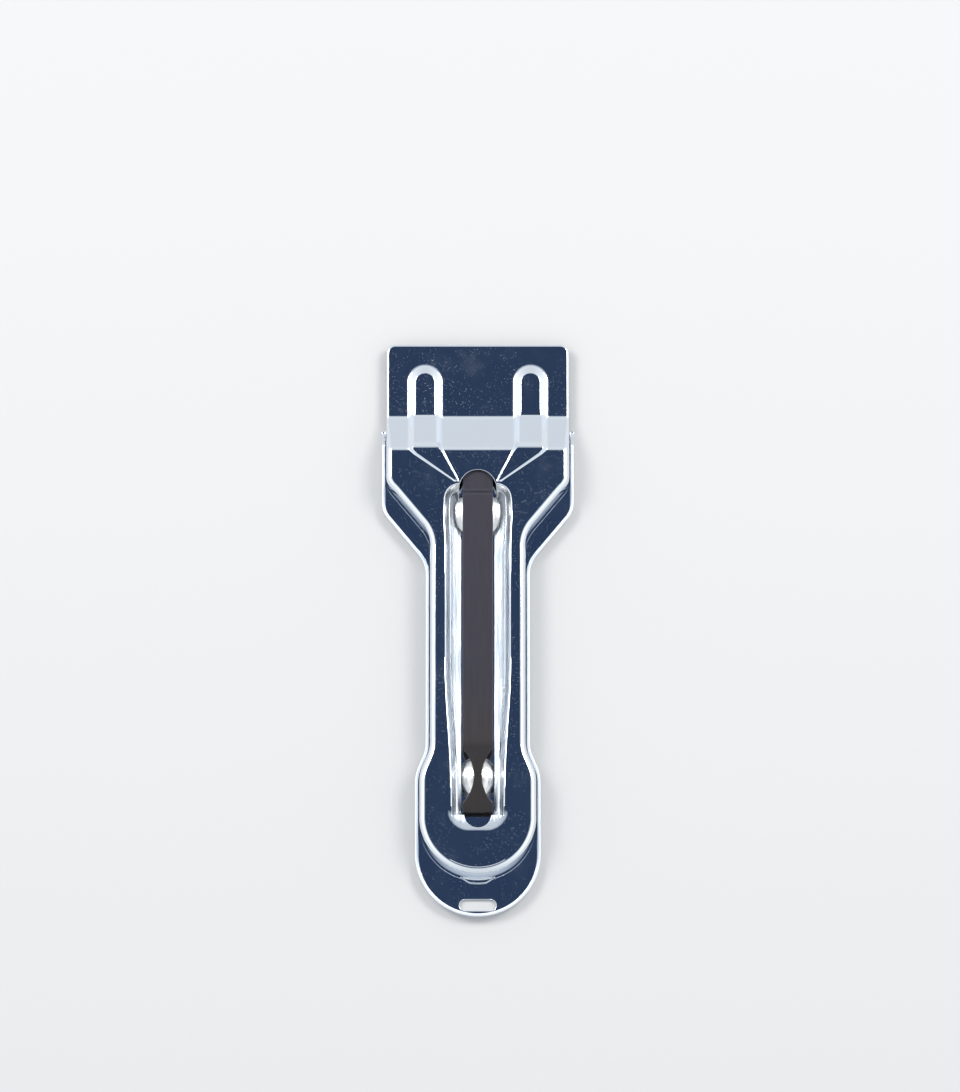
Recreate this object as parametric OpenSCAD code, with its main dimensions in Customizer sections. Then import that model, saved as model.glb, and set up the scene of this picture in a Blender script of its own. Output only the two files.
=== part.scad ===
// Scraper for glass ceramic hobs. A pressed steel cover slides on a pressed steel tray and uncovers a blade.
// Millimetres. +Y points to the blade edge, +X to the right, +Z up through the cover.
// The origin lies under the middle of the whole scraper, on the flat underside of the tray.
// The model stands in the safe position, with the cover pushed forward over the blade.

/* [Cover, seen from above] */
// Length of the cover from its front edge to its tail
cover_len = 133; // [126:0.5:142]
// Width of the cover over the blade
head_w = 45; // [44:0.5:50]
// Width of the neck, where the fingers hold it
neck_w = 23.4; // [22:0.2:26]
// Width of the round tail
tail_w = 28.6; // [27:0.2:32]
// Front edge to the foot of the step
head_len = 18.4; // [16:0.2:20]
// Length of the sloping step
step_run = 8.5; // [7:0.1:9]
// Front edge to the corner where the shoulder starts
shoulder_at = 35.7; // [34.4:0.1:37.4]
// Length of the slanted shoulder
shoulder_run = 12.9; // [11:0.1:15]
// Length of the widened tail, from the end of the neck to the rear
tail_len = 31.9; // [28.4:0.5:36.4]
// Length over which the neck widens to the tail
flare_run = 6.1; // [5.1:0.5:8.1]
// Radius of the two front corners
front_corner_r = 1.4; // [1:0.1:2.5]
// Radius at the outer end of the shoulder
shoulder_r = 5; // [3:0.5:7]
// Radius where shoulder and flare run into the neck
neck_r = 9; // [5:0.5:12]

/* [Cover, heights] */
// Top of the low plate over the blade
head_h = 3.4; // [3.2:0.1:4]
// Top of the high plate of the handle
handle_h = 8.5; // [8.2:0.1:10]
// Thickness of the pressed sheet, cover and tray
sheet = 0.8; // [0.6:0.05:0.9]
// Outer bend radius along the edge of the handle
bend_r = 1.6; // [1.2:0.1:2.2]
// Outer bend radius along the edge of the low plate
head_bend_r = 0.9; // [0.9:0.1:1.2]
// Radius of the two bends of the step
step_r = 1.6; // [0.8:0.1:2]
// Lower edge of the short lip along the front
front_lip_h = 2; // [1.95:0.05:2.1]

/* [Ribs] */
// Distance between the centre lines of the two ribs
rib_spacing = 26; // [24:0.5:28]
// Width of a rib at its foot
rib_w = 10; // [8:0.2:11]
// Width of the flat top of a rib
rib_top_w = 4.6; // [3:0.2:6]
// Height of a rib above the plate
rib_h = 1.2; // [0.8:0.1:1.4]
// How far ahead of the step a rib starts to steepen
rib_lead = 2.5; // [1.5:0.1:4]
// Crest of the step to the start of the ridge behind it
ridge_lag = 1.2; // [0.8:0.1:2]
// Front end of the channel to the rear end of a ridge
ridge_stop = 0.9; // [0.6:0.1:1.5]
// Middle of a ridge at its rear end, from the centre line
ridge_end_x = 5.6; // [5:0.1:6.5]
// Width of a ridge at its rear end
ridge_end_w = 1.4; // [1.2:0.1:2]
// Height of a ridge at its rear end
ridge_end_h = 0.24; // [0.1:0.02:0.4]
// Front edge of the cover to the round end of a rib
rib_setback = 4.7; // [4:0.1:6]

/* [Channel and slot] */
// Width of the channel at the level of the plate
channel_w = 16.2; // [15.8:0.1:17]
// Front edge of the cover to the front end of the channel
channel_at = 35.4; // [34.9:0.1:36.4]
// Rear end of the channel to the tail of the cover
channel_margin = 11; // [9:0.1:14]
// Radius of the front corners of the channel
channel_front_r = 3.6; // [2.5:0.1:5]
// Radius of the rear corners of the channel
channel_rear_r = 6; // [4:0.2:7]
// Width of the slot in the floor of the channel
slot_w = 8; // [7.9:0.1:8.4]
// Channel end to slot end, at the rear
slot_rear_margin = 4.6; // [4.2:0.1:6]
// Radius of the arch that ends the slot in the plate
arch_r = 4.5; // [4.3:0.1:5]
// Channel front end to the crown of the arch
arch_reach = 3.2; // [2.8:0.1:4]
// Radius of the round notch behind the slot
notch_r = 3.3; // [2.5:0.1:3.6]

/* [Leaf spring] */
// Width of the leaf spring
leaf_w = 7.5; // [6.5:0.1:7.6]
// Thickness of the leaf spring
leaf_t = 0.5; // [0.4:0.05:0.6]
// How far the leaf spring can be pressed down
leaf_travel = 1; // [0.5:0.1:1.1]
// Depth of the joggle that dips under the plate
leaf_joggle = 0.75; // [0.6:0.05:0.9]
// How far its front end reaches under the plate
leaf_tuck = 4.2; // [3:0.1:4.5]
// Slope of its rear part, in degrees
leaf_rear_slope = 11; // [8:0.5:12]
// Length of its sloping rear part
leaf_rear_len = 16.6; // [15:0.2:18]
// Width that the two round side notches leave
leaf_waist = 2; // [1.6:0.1:3]
// Radius of the round side notches
leaf_notch_r = 9; // [7:0.5:12]

/* [Front rivet and rear guide] */
// Front edge of the cover to the front rivet
rivet_at = 42.3; // [42:0.1:43.5]
// Diameter of the rivet head
rivet_head_d = 11.8; // [10.5:0.1:12]
// Height of the domed part of the head
rivet_dome_h = 1.85; // [1.2:0.05:1.9]
// Rear end of the slot to the middle of the rear guide
guide_margin = 9.6; // [8.6:0.1:11]
// Length of the rear guide along the slot
guide_len = 10.4; // [9:0.2:11]
// Height of the cone under the head of the rivet
rivet_cone_h = 1.1; // [0.8:0.1:1.3]
// Height of the straight edge of the rivet head
rivet_edge_h = 0.1; // [0.05:0.05:0.2]
// Height of the crown of the rear guide above the tray plate
guide_h = 4.1; // [3.5:0.1:4.2]
// Height of the domed part of the rear guide
guide_dome_h = 2.4; // [1.8:0.1:2.6]
// Diameter of the shanks through the tray
shank_d = 4.8; // [4:0.1:6]

/* [Blade] */
// Width of the blade
blade_w = 39; // [36:0.5:40]
// Depth of the blade, edge to back
blade_depth = 19; // [18:0.1:20]
// Thickness of the blade
blade_t = 0.25; // [0.2:0.01:0.3]
// Edge of the blade behind the front of the cover
blade_setback = 1.2; // [1:0.1:1.5]
// Width of the ground bevel
bevel_w = 1.4; // [1:0.1:2]
// Depth of the folded back of the blade
back_depth = 4; // [3.5:0.1:4.5]
// Thickness of the folded back
back_t = 1.1; // [1:0.05:1.1]
// Radius of the notches in the blade ends
blade_notch_r = 1.4; // [1.2:0.1:1.6]

/* [Tray] */
// Height of the rim
rim_h = 2.8; // [2.2:0.1:3.5]
// Outer bend radius of the rim
rim_bend_r = 0.9; // [0.5:0.1:1.2]
// Front edge of the cover to the front of the blade seat
seat_at = 6.8; // [6.6:0.1:8]
// Front edge of the cover to the start of the rim
rim_at = 21.5; // [21.3:0.1:23.3]
// Length over which the rim rises
rim_rise = 4; // [3:0.5:6]
// Length of the oblong window
window_len = 9.4; // [8:0.2:10]
// Width of the oblong window
window_w = 2.8; // [2.4:0.1:3]
// Tail of the tray to the centre of the window
window_at = 2.8; // [2.75:0.05:3]

/* [Fits and travel] */
// How far the cover slides back
slide_travel = 5.6; // [4.6:0.1:5.8]
// Space behind the tail of the cover when it is fully back
tail_room = 2.3; // [2.1:0.1:3]
// Side clearance between cover and tray
slide_gap = 0.3; // [0.25:0.05:0.5]
// Clearance between the cover and the tray plate below it
floor_gap = 0.3; // [0.25:0.05:0.35]
// Clearance of the rivet and the guide in the slot
slot_gap = 0.1; // [0.05:0.05:0.2]
// Clearance between the pressed leaf spring and the rivet below it
press_gap = 0.25; // [0.2:0.05:0.3]
// Room above the crown of the rivet in the gate through which it runs
gate_room = 0.65; // [0.4:0.05:0.8]
// Room beside the head of the rivet in the gate
gate_side = 0.4; // [0.3:0.05:0.6]
// Clearance between the blade and what holds it
blade_gap = 0.05; // [0.02:0.01:0.1]
// Width of the locking lip at the tail of the cover
lip_w = 8.6; // [7:0.2:9]
// How far the locking lip stands out from the tail
lip_out = 0.8; // [0.6:0.1:1]

/* [Hidden] */
$fn = 64;
eps = 0.01;
// places along Y
overall_len = cover_len + slide_travel + tail_room + slide_gap + sheet;
front_y = overall_len / 2;
tail_y = -overall_len / 2;
cover_tail_y = front_y - cover_len;
step_foot_y = front_y - head_len;
step_crest_y = step_foot_y - step_run;
shoulder_y = front_y - shoulder_at;
neck_front_y = shoulder_y - shoulder_run;
neck_rear_y = cover_tail_y + tail_len;
flare_end_y = neck_rear_y - flare_run;
channel_front_y = front_y - channel_at;
channel_rear_y = cover_tail_y + channel_margin;
arch_y = channel_front_y + arch_reach - arch_r;
slot_rear_y = channel_rear_y + slot_rear_margin;
rivet_y = front_y - rivet_at;
guide_y = slot_rear_y + guide_margin;
edge_y = front_y - blade_setback;
blade_back_y = edge_y - blade_depth;
seat_front_y = front_y - seat_at;
rim_front_y = front_y - rim_at;
window_y = tail_y + window_at;
// heights
flange_z = sheet + floor_gap;
blade_z = sheet + back_t / 2 - blade_t / 2;
seat_z = blade_z - blade_gap;
leaf_top_z = handle_h - 0.4;
rivet_rim_z = leaf_top_z - leaf_t - leaf_joggle - leaf_travel - press_gap - rivet_dome_h;
gate_top_z = rivet_rim_z + rivet_dome_h + gate_room;
// half widths
half_head = head_w / 2;
half_neck = neck_w / 2;
half_tail = tail_w / 2;
seat_half = half_head - sheet - slide_gap - 0.2;

// Numbers of segments on arcs and along the ribs
corner_n = 7;
tail_n = 20;
bend_n = 4;
tip_n = 7;
ridge_n = 6;
channel_n = 6;
// Angle at which a rib's round tip starts, so that its first section has a width
tip_a = 12;
// Share of the sheet's thickness that a countersink takes
countersink = 0.75;
// How much narrower a rib is under the sheet, and how deep its foot dips
rib_narrowing = 0.35;
rib_root = 0.5;

function unit(v) = v / norm(v);
function turn(a, b, c) = (b.x - a.x) * (c.y - b.y) - (b.y - a.y) * (c.x - b.x);
function wrap(a) = a > 180 ? a - 360 : a < -180 ? a + 360 : a;
function clamp01(t) = min(1, max(0, t));
function smooth(t) = let (u = clamp01(t)) u * u * (3 - 2 * u);
// Radius of the ball that a dome of this foot radius and height is cut from
function ball_radius(r, h) = (r * r + h * h) / (2 * h);

// Round corner at b between a and c, as points with the outward normal of a shape walked clockwise
function corner(a, b, c, r, n) =
  let (u = unit(a - b), v = unit(c - b), half = acos(u * v) / 2)
  let (centre = b + unit(u + v) * r / sin(half))
  let (first = b + u * r / tan(half) - centre, last = b + v * r / tan(half) - centre)
  let (start = atan2(first.y, first.x), sweep = wrap(atan2(last.y, last.x) - start))
  let (side = turn(a, b, c) < 0 ? 1 : -1)
  [for (k = [0:n])
    let (angle = start + sweep * k / n, d = [cos(angle), sin(angle)])
    [centre.x + r * d.x, centre.y + r * d.y, side * d.x, side * d.y]];

// Side profile of the cover's top from the low plate over the step, as [y, z, normal y, normal z]
function step_profile() =
  let (foot = [step_foot_y, head_h], crest = [step_crest_y, handle_h])
  let (ahead = [front_y, head_h], behind = [shoulder_y, handle_h])
  let (lower_bend = corner(ahead, foot, crest, step_r, corner_n))
  let (upper_bend = corner(foot, crest, behind, step_r, corner_n))
  [for (p = concat(lower_bend, upper_bend))
    let (up = p[3] < 0 ? -1 : 1)
    [p.x, p.y, up * p[2], up * p[3]]];

// The same profile sunk by a distance along its normals
function sunk_profile(depth) = [for (p = step_profile()) [p[0] - depth * p[2], p[1] - depth * p[3]]];
function top_z(y, profile) = lookup(-y, [for (p = profile) [-p[0], p[1]]]);

// Right half of the outline from the front edge to the tail, as [x, y, normal x, normal y].
// stations are extra places along the straight side of the head
function half_outline(front, shoulder_shift, tail, stations) =
  let (v1 = [half_head, front], v2 = [half_head, shoulder_y - shoulder_shift])
  let (v3 = [half_neck, neck_front_y - shoulder_shift], v4 = [half_neck, neck_rear_y])
  let (v5 = [half_tail, flare_end_y], tail_centre = [0, tail + half_tail])
  concat(
    corner([0, front], v1, v2, front_corner_r, corner_n),
    [for (y = stations) [half_head, y, 1, 0]],
    corner(v1, v2, v3, shoulder_r, corner_n),
    corner(v2, v3, v4, neck_r, corner_n),
    corner(v3, v4, v5, neck_r, corner_n),
    corner(v4, v5, tail_centre + [half_tail, 0], neck_r, corner_n),
    [for (k = [0:tail_n - 1])
      let (angle = 90 * k / (tail_n - 0.5), d = [cos(angle), -sin(angle)])
      [half_tail * d.x, tail_centre.y + half_tail * d.y, d.x, d.y]]);

function grown(outline, off) = [for (p = outline) [p[0] + off * p[2], p[1] + off * p[3], p[2], p[3]]];
function mirrored_ring(half) =
  concat(half, [for (k = [len(half) - 1:-1:0]) [-half[k].x, half[k].y, half[k].z]]);

// Solid between rings that run round the outline. The lids are strips between its two mirrored halves
module outline_solid(rings) {
  m = len(rings[0]);
  last = len(rings) - 1;
  sides = [for (r = [0:last - 1], k = [0:m - 1])
    let (a = r * m + k, b = r * m + (k + 1) % m)
    each [[a, b, b + m], [a, b + m, a + m]]];
  lids = [for (k = [0:m / 2 - 2])
    let (a = k, b = k + 1, c = m - 2 - k, d = m - 1 - k, t = last * m)
    each [[a, c, b], [a, d, c], [t + a, t + b, t + c], [t + a, t + c, t + d]]];
  polyhedron([for (r = rings) each r], concat(sides, lids), convexity = 8);
}

// Solid between closed rings whose first and last ring are flat and convex. turned reverses its faces
module loft(rings, turned = false) {
  m = len(rings[0]);
  last = len(rings) - 1;
  sides = [for (r = [0:last - 1], k = [0:m - 1])
    let (a = r * m + k, b = r * m + (k + 1) % m)
    each [[a, b, b + m], [a, b + m, a + m]]];
  lids = [for (k = [1:m - 2]) each [[0, k + 1, k], [last * m, last * m + k, last * m + k + 1]]];
  faces = [for (f = concat(sides, lids)) turned ? [f[0], f[2], f[1]] : f];
  polyhedron([for (r = rings) each r], faces, convexity = 8);
}

function bend_at(z) = head_bend_r + (bend_r - head_bend_r) * clamp01((z - head_h) / (handle_h - head_h));

// Block with the cover's outline, step and rolled edges, shrunk by a depth on every side
module cover_block(depth, bottom, front_bottom) {
  profile = sunk_profile(depth);
  ys = concat([front_y - front_corner_r - 1], [for (p = profile) p[0]]);
  half = grown(half_outline(front_y, 0, cover_tail_y, ys), -depth);
  heights = [for (p = half) top_z(p[1], profile)];
  in_front = front_y - front_corner_r - depth - eps;
  foot = [for (k = [0:len(half) - 1])
    [half[k][0], half[k][1], half[k][1] > in_front ? front_bottom : bottom]];
  bends = [for (s = [0:bend_n])
    let (a = 90 * s / bend_n)
    [for (k = [0:len(half) - 1])
      let (p = half[k], r = max(bend_at(heights[k] + depth) - depth, 0.1))
      [p[0] - r * (1 - cos(a)) * p[2], p[1] - r * (1 - cos(a)) * p[3], heights[k] - r * (1 - sin(a))]]];
  outline_solid([for (ring = concat([foot], bends)) mirrored_ring(ring)]);
}

// Places along a rib, as [y, z, normal y, normal z, centre x, half foot, half top, height]
function rib_stations() = concat(rib_tip(), rib_on_step(), ridge());

// The round front end, which rises from the plate
function rib_tip() =
  let (r = rib_w / 2, top_r = rib_top_w / 2, slope = r - top_r, tip_y = front_y - rib_setback)
  [for (k = [0:tip_n])
    let (a = tip_a + (90 - tip_a) * k / tip_n, s = r * (1 - cos(a)), t = clamp01((s - slope) / top_r))
    [tip_y - s, head_h, 0, 1, rib_spacing / 2, r * sin(a), 0.05 + top_r * sqrt(t * (2 - t)),
      rib_h * smooth(s / slope)]];

// The straight part, which climbs the step with steeper sides
function rib_on_step() =
  let (r = rib_w / 2, top_r = rib_top_w / 2)
  concat(
    [[step_foot_y + rib_lead, head_h, 0, 1, rib_spacing / 2, r, top_r, rib_h]],
    [for (p = step_profile()) [p[0], p[1], p[2], p[3], rib_spacing / 2, r - 0.3, top_r + 0.4, rib_h]]);

// The ridge behind the step, which narrows and sinks towards the channel
function ridge() =
  let (y0 = step_crest_y - ridge_lag, y1 = channel_front_y + ridge_stop)
  let (x0 = rib_spacing / 2, half0 = rib_w / 2 - 0.5, half1 = ridge_end_w / 2)
  [for (k = [0:ridge_n])
    let (t = k / ridge_n, half_foot = half0 + t * (half1 - half0), side = 1.3 - 0.8 * t)
    [y0 + t * (y1 - y0), handle_h, 0, 1, x0 + t * (ridge_end_x - x0), half_foot, half_foot - side,
      rib_h + (ridge_end_h - rib_h) * smooth(t)]];

// One rib, raised from a surface that lies a depth under the outer one. Its foot dips below that surface
module rib(side, depth, narrower) {
  loft([for (s = rib_stations())
    let (foot = max(s[5] - narrower, 0.12), top = max(s[6] - narrower, 0.04))
    let (right = [for (k = [1:4]) let (u = k / 4) [foot + (top - foot) * u, s[7] * smooth(u) - depth]])
    let (dip = [[foot + 0.05, -depth - rib_root], [foot + 0.05, -depth - 0.06]])
    let (half = concat(dip, right))
    let (section = concat(half, [for (k = [len(half) - 1:-1:0]) [-half[k].x, half[k].y]]))
    [for (q = section) [side * (s[4] + q.x), s[0] + q.y * s[2], s[1] + q.y * s[3]]]], side > 0);
}

// Half of the channel's cross section from the plate down to the floor, as [inset, drop]
channel_section = [
  [0, 0], [0.35, 0.12], [0.75, 0.7], [1.15, 2.6], [1.5, 4.3], [2.1, 5.25], [3.1, 5.9], [4.35, 6.4]];

// The same section moved out by a distance along its normals
function moved_section(off) =
  let (n = len(channel_section))
  [for (k = [0:n - 1])
    let (a = channel_section[max(k - 1, 0)], b = channel_section[min(k + 1, n - 1)], d = unit(b - a))
    channel_section[k] + off * [-d.y, d.x]];

// Rounded rectangle at a height, shrunk by an inset from the edge of the channel
function channel_ring(inset, z) =
  let (w = channel_w / 2 - inset, y1 = channel_front_y - inset, y0 = channel_rear_y + inset)
  let (rf = max(channel_front_r - inset, 0.4), rr = max(channel_rear_r - inset, 0.4))
  let (front = [[w - rf, y1 - rf, rf, 0], [-w + rf, y1 - rf, rf, 90]])
  let (rear = [[-w + rr, y0 + rr, rr, 180], [w - rr, y0 + rr, rr, 270]])
  [for (c = concat(front, rear), k = [0:channel_n])
    let (a = c[3] + 90 * k / channel_n)
    [c[0] + c[2] * cos(a), c[1] + c[2] * sin(a), z]];

module channel_void() {
  loft(concat(
    [for (k = [len(channel_section) - 1:-1:0])
      channel_ring(channel_section[k].x, handle_h - channel_section[k].y)],
    [channel_ring(-0.1, handle_h + 3)]), true);
}

module channel_wall() {
  outer = moved_section(sheet);
  loft(concat(
    [for (k = [len(outer) - 1:-1:1]) channel_ring(outer[k].x, handle_h - outer[k].y)],
    [channel_ring(-0.5, handle_h - sheet / 2)]), true);
}

// Outline of the slot, with the arch that ends it in the plate and the round notch behind it
function slot_outline() =
  let (half = slot_w / 2, wide_y = rivet_y + slide_travel / 2, notch_a = 20)
  let (notch_y0 = slot_rear_y + notch_r * sin(notch_a))
  let (right = concat(
    [[notch_r * cos(notch_a), slot_rear_y], [half, slot_rear_y], [half, wide_y - 3], [arch_r, wide_y]],
    [for (k = [0:8]) [arch_r * cos(10 * k), arch_y + arch_r * sin(10 * k)]]))
  concat(right, [[0, arch_y + arch_r]], [for (k = [len(right) - 1:-1:0]) [-right[k].x, right[k].y]],
    [for (k = [1:9])
      let (a = 180 + notch_a + (180 - 2 * notch_a) * k / 10)
      [notch_r * cos(a), notch_y0 + notch_r * sin(a)]]);

module slot_cut() {
  translate([0, 0, -1]) linear_extrude(handle_h + 5) polygon(slot_outline());
}

// Gate under the plate through which the head of the rivet runs forward
module head_gate() {
  gate_w = rivet_head_d + 2 * gate_side;
  y0 = rivet_y + rivet_head_d / 2 - 2.4;
  translate([-gate_w / 2, y0, 0]) cube([gate_w, channel_front_y + 1.5 - y0, gate_top_z]);
}

// Lip in the middle of the tail, which drops towards the window when the cover is back
module tail_lip() {
  y = cover_tail_y;
  translate([-lip_w / 2, 0, 0]) rotate([90, 0, 90]) linear_extrude(lip_w)
    polygon([[y + 0.5, flange_z + 2.4], [y + 0.02, flange_z + 2], [y - lip_out, flange_z + 0.8],
      [y - lip_out, flange_z], [y - lip_out + sheet, flange_z], [y + sheet - 0.02, flange_z + 0.9]]);
}

module upper_cover() {
  color("silver") difference() {
    union() {
      difference() {
        union() {
          cover_block(0, flange_z, front_lip_h);
          for (side = [-1, 1]) rib(side, 0, 0);
        }
        cover_block(sheet, -1, -1);
        for (side = [-1, 1]) rib(side, sheet, rib_narrowing);
      }
      channel_wall();
      tail_lip();
    }
    channel_void();
    slot_cut();
    head_gate();
  }
}

// Flat plate of the tray with its upturned rim, open towards the blade
module tray_pan() {
  gap = slide_gap + sheet;
  rim_ys = [for (k = [0:4]) rim_front_y - rim_rise * k / 4];
  half = half_outline(front_y, slide_travel, tail_y + gap, rim_ys);
  outer = half_from_rim(grown(half, gap), rim_front_y);
  inner = half_from_rim(grown(half, slide_gap), rim_front_y);
  difference() {
    outline_solid([for (ring = concat(
      [for (s = [0:2])
        let (a = 45 * s, r = rim_bend_r)
        [for (p = outer)
          let (inset = r * (1 - sin(a)))
          [p[0] - inset * p[2], p[1] - inset * p[3], r * (1 - cos(a))]]],
      [[for (p = outer) [p[0], p[1], rim_z(p[1])]]])) mirrored_ring(ring)]);
    outline_solid([for (ring = [
      [for (p = ahead_of(inner)) [p[0] - 0.3 * p[2], p[1] - 0.3 * p[3], sheet]],
      [for (p = ahead_of(inner)) [p[0], p[1], sheet + 0.3]],
      [for (p = ahead_of(inner)) [p[0], p[1], rim_h + 1]]]) mirrored_ring(ring)]);
  }
}

function rim_z(y) = sheet + eps + (rim_h - sheet - eps) * smooth((rim_front_y - y) / rim_rise);
// The part of a half outline that lies behind the start of the rim
function half_from_rim(half, y) = [for (p = half) if (p[1] <= y + eps) p];
// The same points, with the first one moved ahead of the plate so that no rim closes the front
function ahead_of(half) = [for (k = [0:len(half) - 1]) k == 0 ? half[0] + [0, 1, 0, 0] : half[k]];

// Seat under the blade, joggled up so that the blade lies flat with its folded back on the plate
module blade_seat() {
  step_y = blade_back_y + back_depth + 0.6;
  intersection() {
    translate([-seat_half, 0, 0]) rotate([90, 0, 90]) linear_extrude(2 * seat_half)
      polygon([[rim_front_y - 2, 0], [step_y, 0], [step_y + 1, seat_z - sheet],
        [seat_front_y, seat_z - sheet], [seat_front_y, seat_z], [step_y + 0.6, seat_z],
        [step_y - 0.4, sheet], [rim_front_y - 2, sheet]]);
    translate([0, 0, -1]) linear_extrude(5) hull() {
      translate([-seat_half, rim_front_y - 2]) square([2 * seat_half, 2]);
      for (side = [-1, 1]) translate([side * (seat_half - 1.5), seat_front_y - 1.5]) circle(1.5);
    }
  }
}

module shank_hole(y) {
  translate([0, y, -1]) cylinder(d = shank_d, h = sheet + 2);
  translate([0, y, -eps])
    cylinder(d1 = shank_d + 2 * sheet * countersink, d2 = shank_d, h = sheet * countersink);
}

module lower_tray() {
  color("lightsteelblue") {
    difference() {
      union() {
        tray_pan();
        blade_seat();
      }
      translate([0, window_y, -1]) linear_extrude(4) for (side = [-1, 1]) hull() {
        translate([side * (window_len - window_w) / 2, 0]) circle(d = window_w);
        circle(d = window_w);
      }
      shank_hole(rivet_y);
      shank_hole(guide_y);
    }
    for (side = [-1, 1]) translate([side * blade_w / 2, notch_y(), seat_z - 0.1])
      cylinder(r = blade_notch_r - blade_gap * 2, h = blade_t + 0.35);
  }
}

function notch_y() = edge_y - blade_depth * 0.45;

module blade() {
  color("gainsboro") difference() {
    translate([-blade_w / 2, 0, 0]) rotate([90, 0, 90]) linear_extrude(blade_w)
      polygon([[blade_back_y + 0.3, blade_z], [edge_y - bevel_w, blade_z],
        [edge_y, blade_z + blade_t / 2 - eps], [edge_y, blade_z + blade_t / 2 + eps],
        [edge_y - bevel_w, blade_z + blade_t], [blade_back_y + 0.3, blade_z + blade_t]]);
    for (side = [-1, 1]) translate([side * blade_w / 2, notch_y(), 0]) cylinder(r = blade_notch_r, h = 5);
  }
}

// Sheet folded over the back edge of the blade
module blade_back() {
  r = back_t / 2;
  color("darkgray") difference() {
    translate([-blade_w / 2, 0, 0]) rotate([90, 0, 90]) linear_extrude(blade_w) {
      translate([blade_back_y + r, sheet]) square([back_depth - r, back_t]);
      translate([blade_back_y + r, sheet + r]) circle(r);
    }
    translate([-blade_w, blade_back_y + 0.3, blade_z]) cube([2 * blade_w, back_depth, blade_t]);
  }
}

// Centre line of the leaf spring from its tucked front end to its sloping rear end, as [y, z]
function leaf_line() =
  let (mid = leaf_top_z - leaf_t / 2, tucked = mid - leaf_joggle, bend_y = arch_y - 0.1)
  let (rear_y = slot_rear_y + 0.7, slope_y = rear_y + leaf_rear_len * cos(leaf_rear_slope))
  [[arch_y + arch_r + leaf_tuck, tucked], [bend_y, tucked], [bend_y - 0.5, tucked + leaf_joggle * 0.3],
    [bend_y - 0.9, tucked + leaf_joggle * 0.8], [bend_y - 1.4, mid], [bend_y - 3, mid], [slope_y + 1, mid],
    [slope_y - 1, mid - tan(leaf_rear_slope)], [rear_y, mid - leaf_rear_len * sin(leaf_rear_slope)]];

// A line thickened to both sides
function thick(line, t) =
  let (n = len(line))
  let (normals = [for (k = [0:n - 1])
    let (d = unit(line[min(k + 1, n - 1)] - line[max(k - 1, 0)])) [-d.y, d.x]])
  concat(
    [for (k = [0:n - 1]) line[k] + normals[k] * t / 2],
    [for (k = [n - 1:-1:0]) line[k] - normals[k] * t / 2]);

module leaf_spring() {
  color("dimgray") difference() {
    translate([-leaf_w / 2, 0, 0]) rotate([90, 0, 90]) linear_extrude(leaf_w)
      polygon(thick(leaf_line(), leaf_t));
    for (side = [-1, 1]) translate([side * (leaf_waist / 2 + leaf_notch_r), guide_y, 0])
      cylinder(r = leaf_notch_r, h = handle_h + 1);
  }
}

// Round stud whose upper end is a dome cut from a ball
module domed_stud(r, bottom_z, top_z, dome_h) {
  ball_r = ball_radius(r, dome_h);
  intersection() {
    translate([0, 0, top_z - ball_r]) sphere(ball_r);
    translate([0, 0, bottom_z]) cylinder(r = r, h = top_z - bottom_z);
  }
}

// Shank through the tray, its end set flush in the countersink. Its upper end reaches into the stud
module set_shank() {
  cylinder(d1 = shank_d + 2 * sheet * countersink, d2 = shank_d, h = sheet * countersink);
  cylinder(d = shank_d, h = sheet + 0.5);
}

// Domed head over the sloping floor of the channel, a neck in the slot and a set end in the tray
module front_rivet() {
  head_r = rivet_head_d / 2;
  stem_r = slot_w / 2 - slot_gap;
  edge_z = rivet_rim_z - rivet_edge_h;
  color("gold") translate([0, rivet_y, 0]) {
    set_shank();
    translate([0, 0, sheet]) cylinder(r = stem_r, h = rivet_rim_z - sheet);
    translate([0, 0, edge_z - rivet_cone_h]) cylinder(r1 = stem_r, r2 = head_r, h = rivet_cone_h);
    domed_stud(head_r, edge_z, rivet_rim_z + rivet_dome_h, rivet_dome_h);
  }
}

// Domed stud with flattened sides that keeps the cover straight in the slot
module rear_guide() {
  half_w = slot_w / 2 - slot_gap;
  color("gold") translate([0, guide_y, 0]) {
    set_shank();
    intersection() {
      domed_stud(guide_len / 2, sheet, sheet + guide_h, guide_dome_h);
      translate([-half_w, -guide_len, 0]) cube([2 * half_w, 2 * guide_len, handle_h]);
    }
  }
}

lower_tray();
upper_cover();
blade();
blade_back();
leaf_spring();
front_rivet();
rear_guide();
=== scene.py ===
"""Looks of the hob scraper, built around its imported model. Meshes are worked out in millimetres."""
import math

import bpy
import numpy as np
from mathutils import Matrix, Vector
from mathutils.geometry import delaunay_2d_cdt


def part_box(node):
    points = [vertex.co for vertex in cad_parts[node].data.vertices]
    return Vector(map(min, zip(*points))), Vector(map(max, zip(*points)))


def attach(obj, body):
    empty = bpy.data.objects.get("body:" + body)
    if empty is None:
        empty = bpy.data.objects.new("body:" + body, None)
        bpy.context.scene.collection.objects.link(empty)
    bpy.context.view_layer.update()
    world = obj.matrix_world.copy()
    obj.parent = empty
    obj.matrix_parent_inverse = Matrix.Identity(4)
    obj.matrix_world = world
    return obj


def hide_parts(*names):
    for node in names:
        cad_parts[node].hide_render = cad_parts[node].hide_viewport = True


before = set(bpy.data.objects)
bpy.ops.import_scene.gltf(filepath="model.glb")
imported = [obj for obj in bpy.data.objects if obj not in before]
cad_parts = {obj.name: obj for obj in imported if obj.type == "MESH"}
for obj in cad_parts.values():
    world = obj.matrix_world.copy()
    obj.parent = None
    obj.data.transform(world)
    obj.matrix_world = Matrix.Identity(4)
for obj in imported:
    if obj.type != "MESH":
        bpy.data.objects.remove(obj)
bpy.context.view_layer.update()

MM = 0.001


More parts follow.
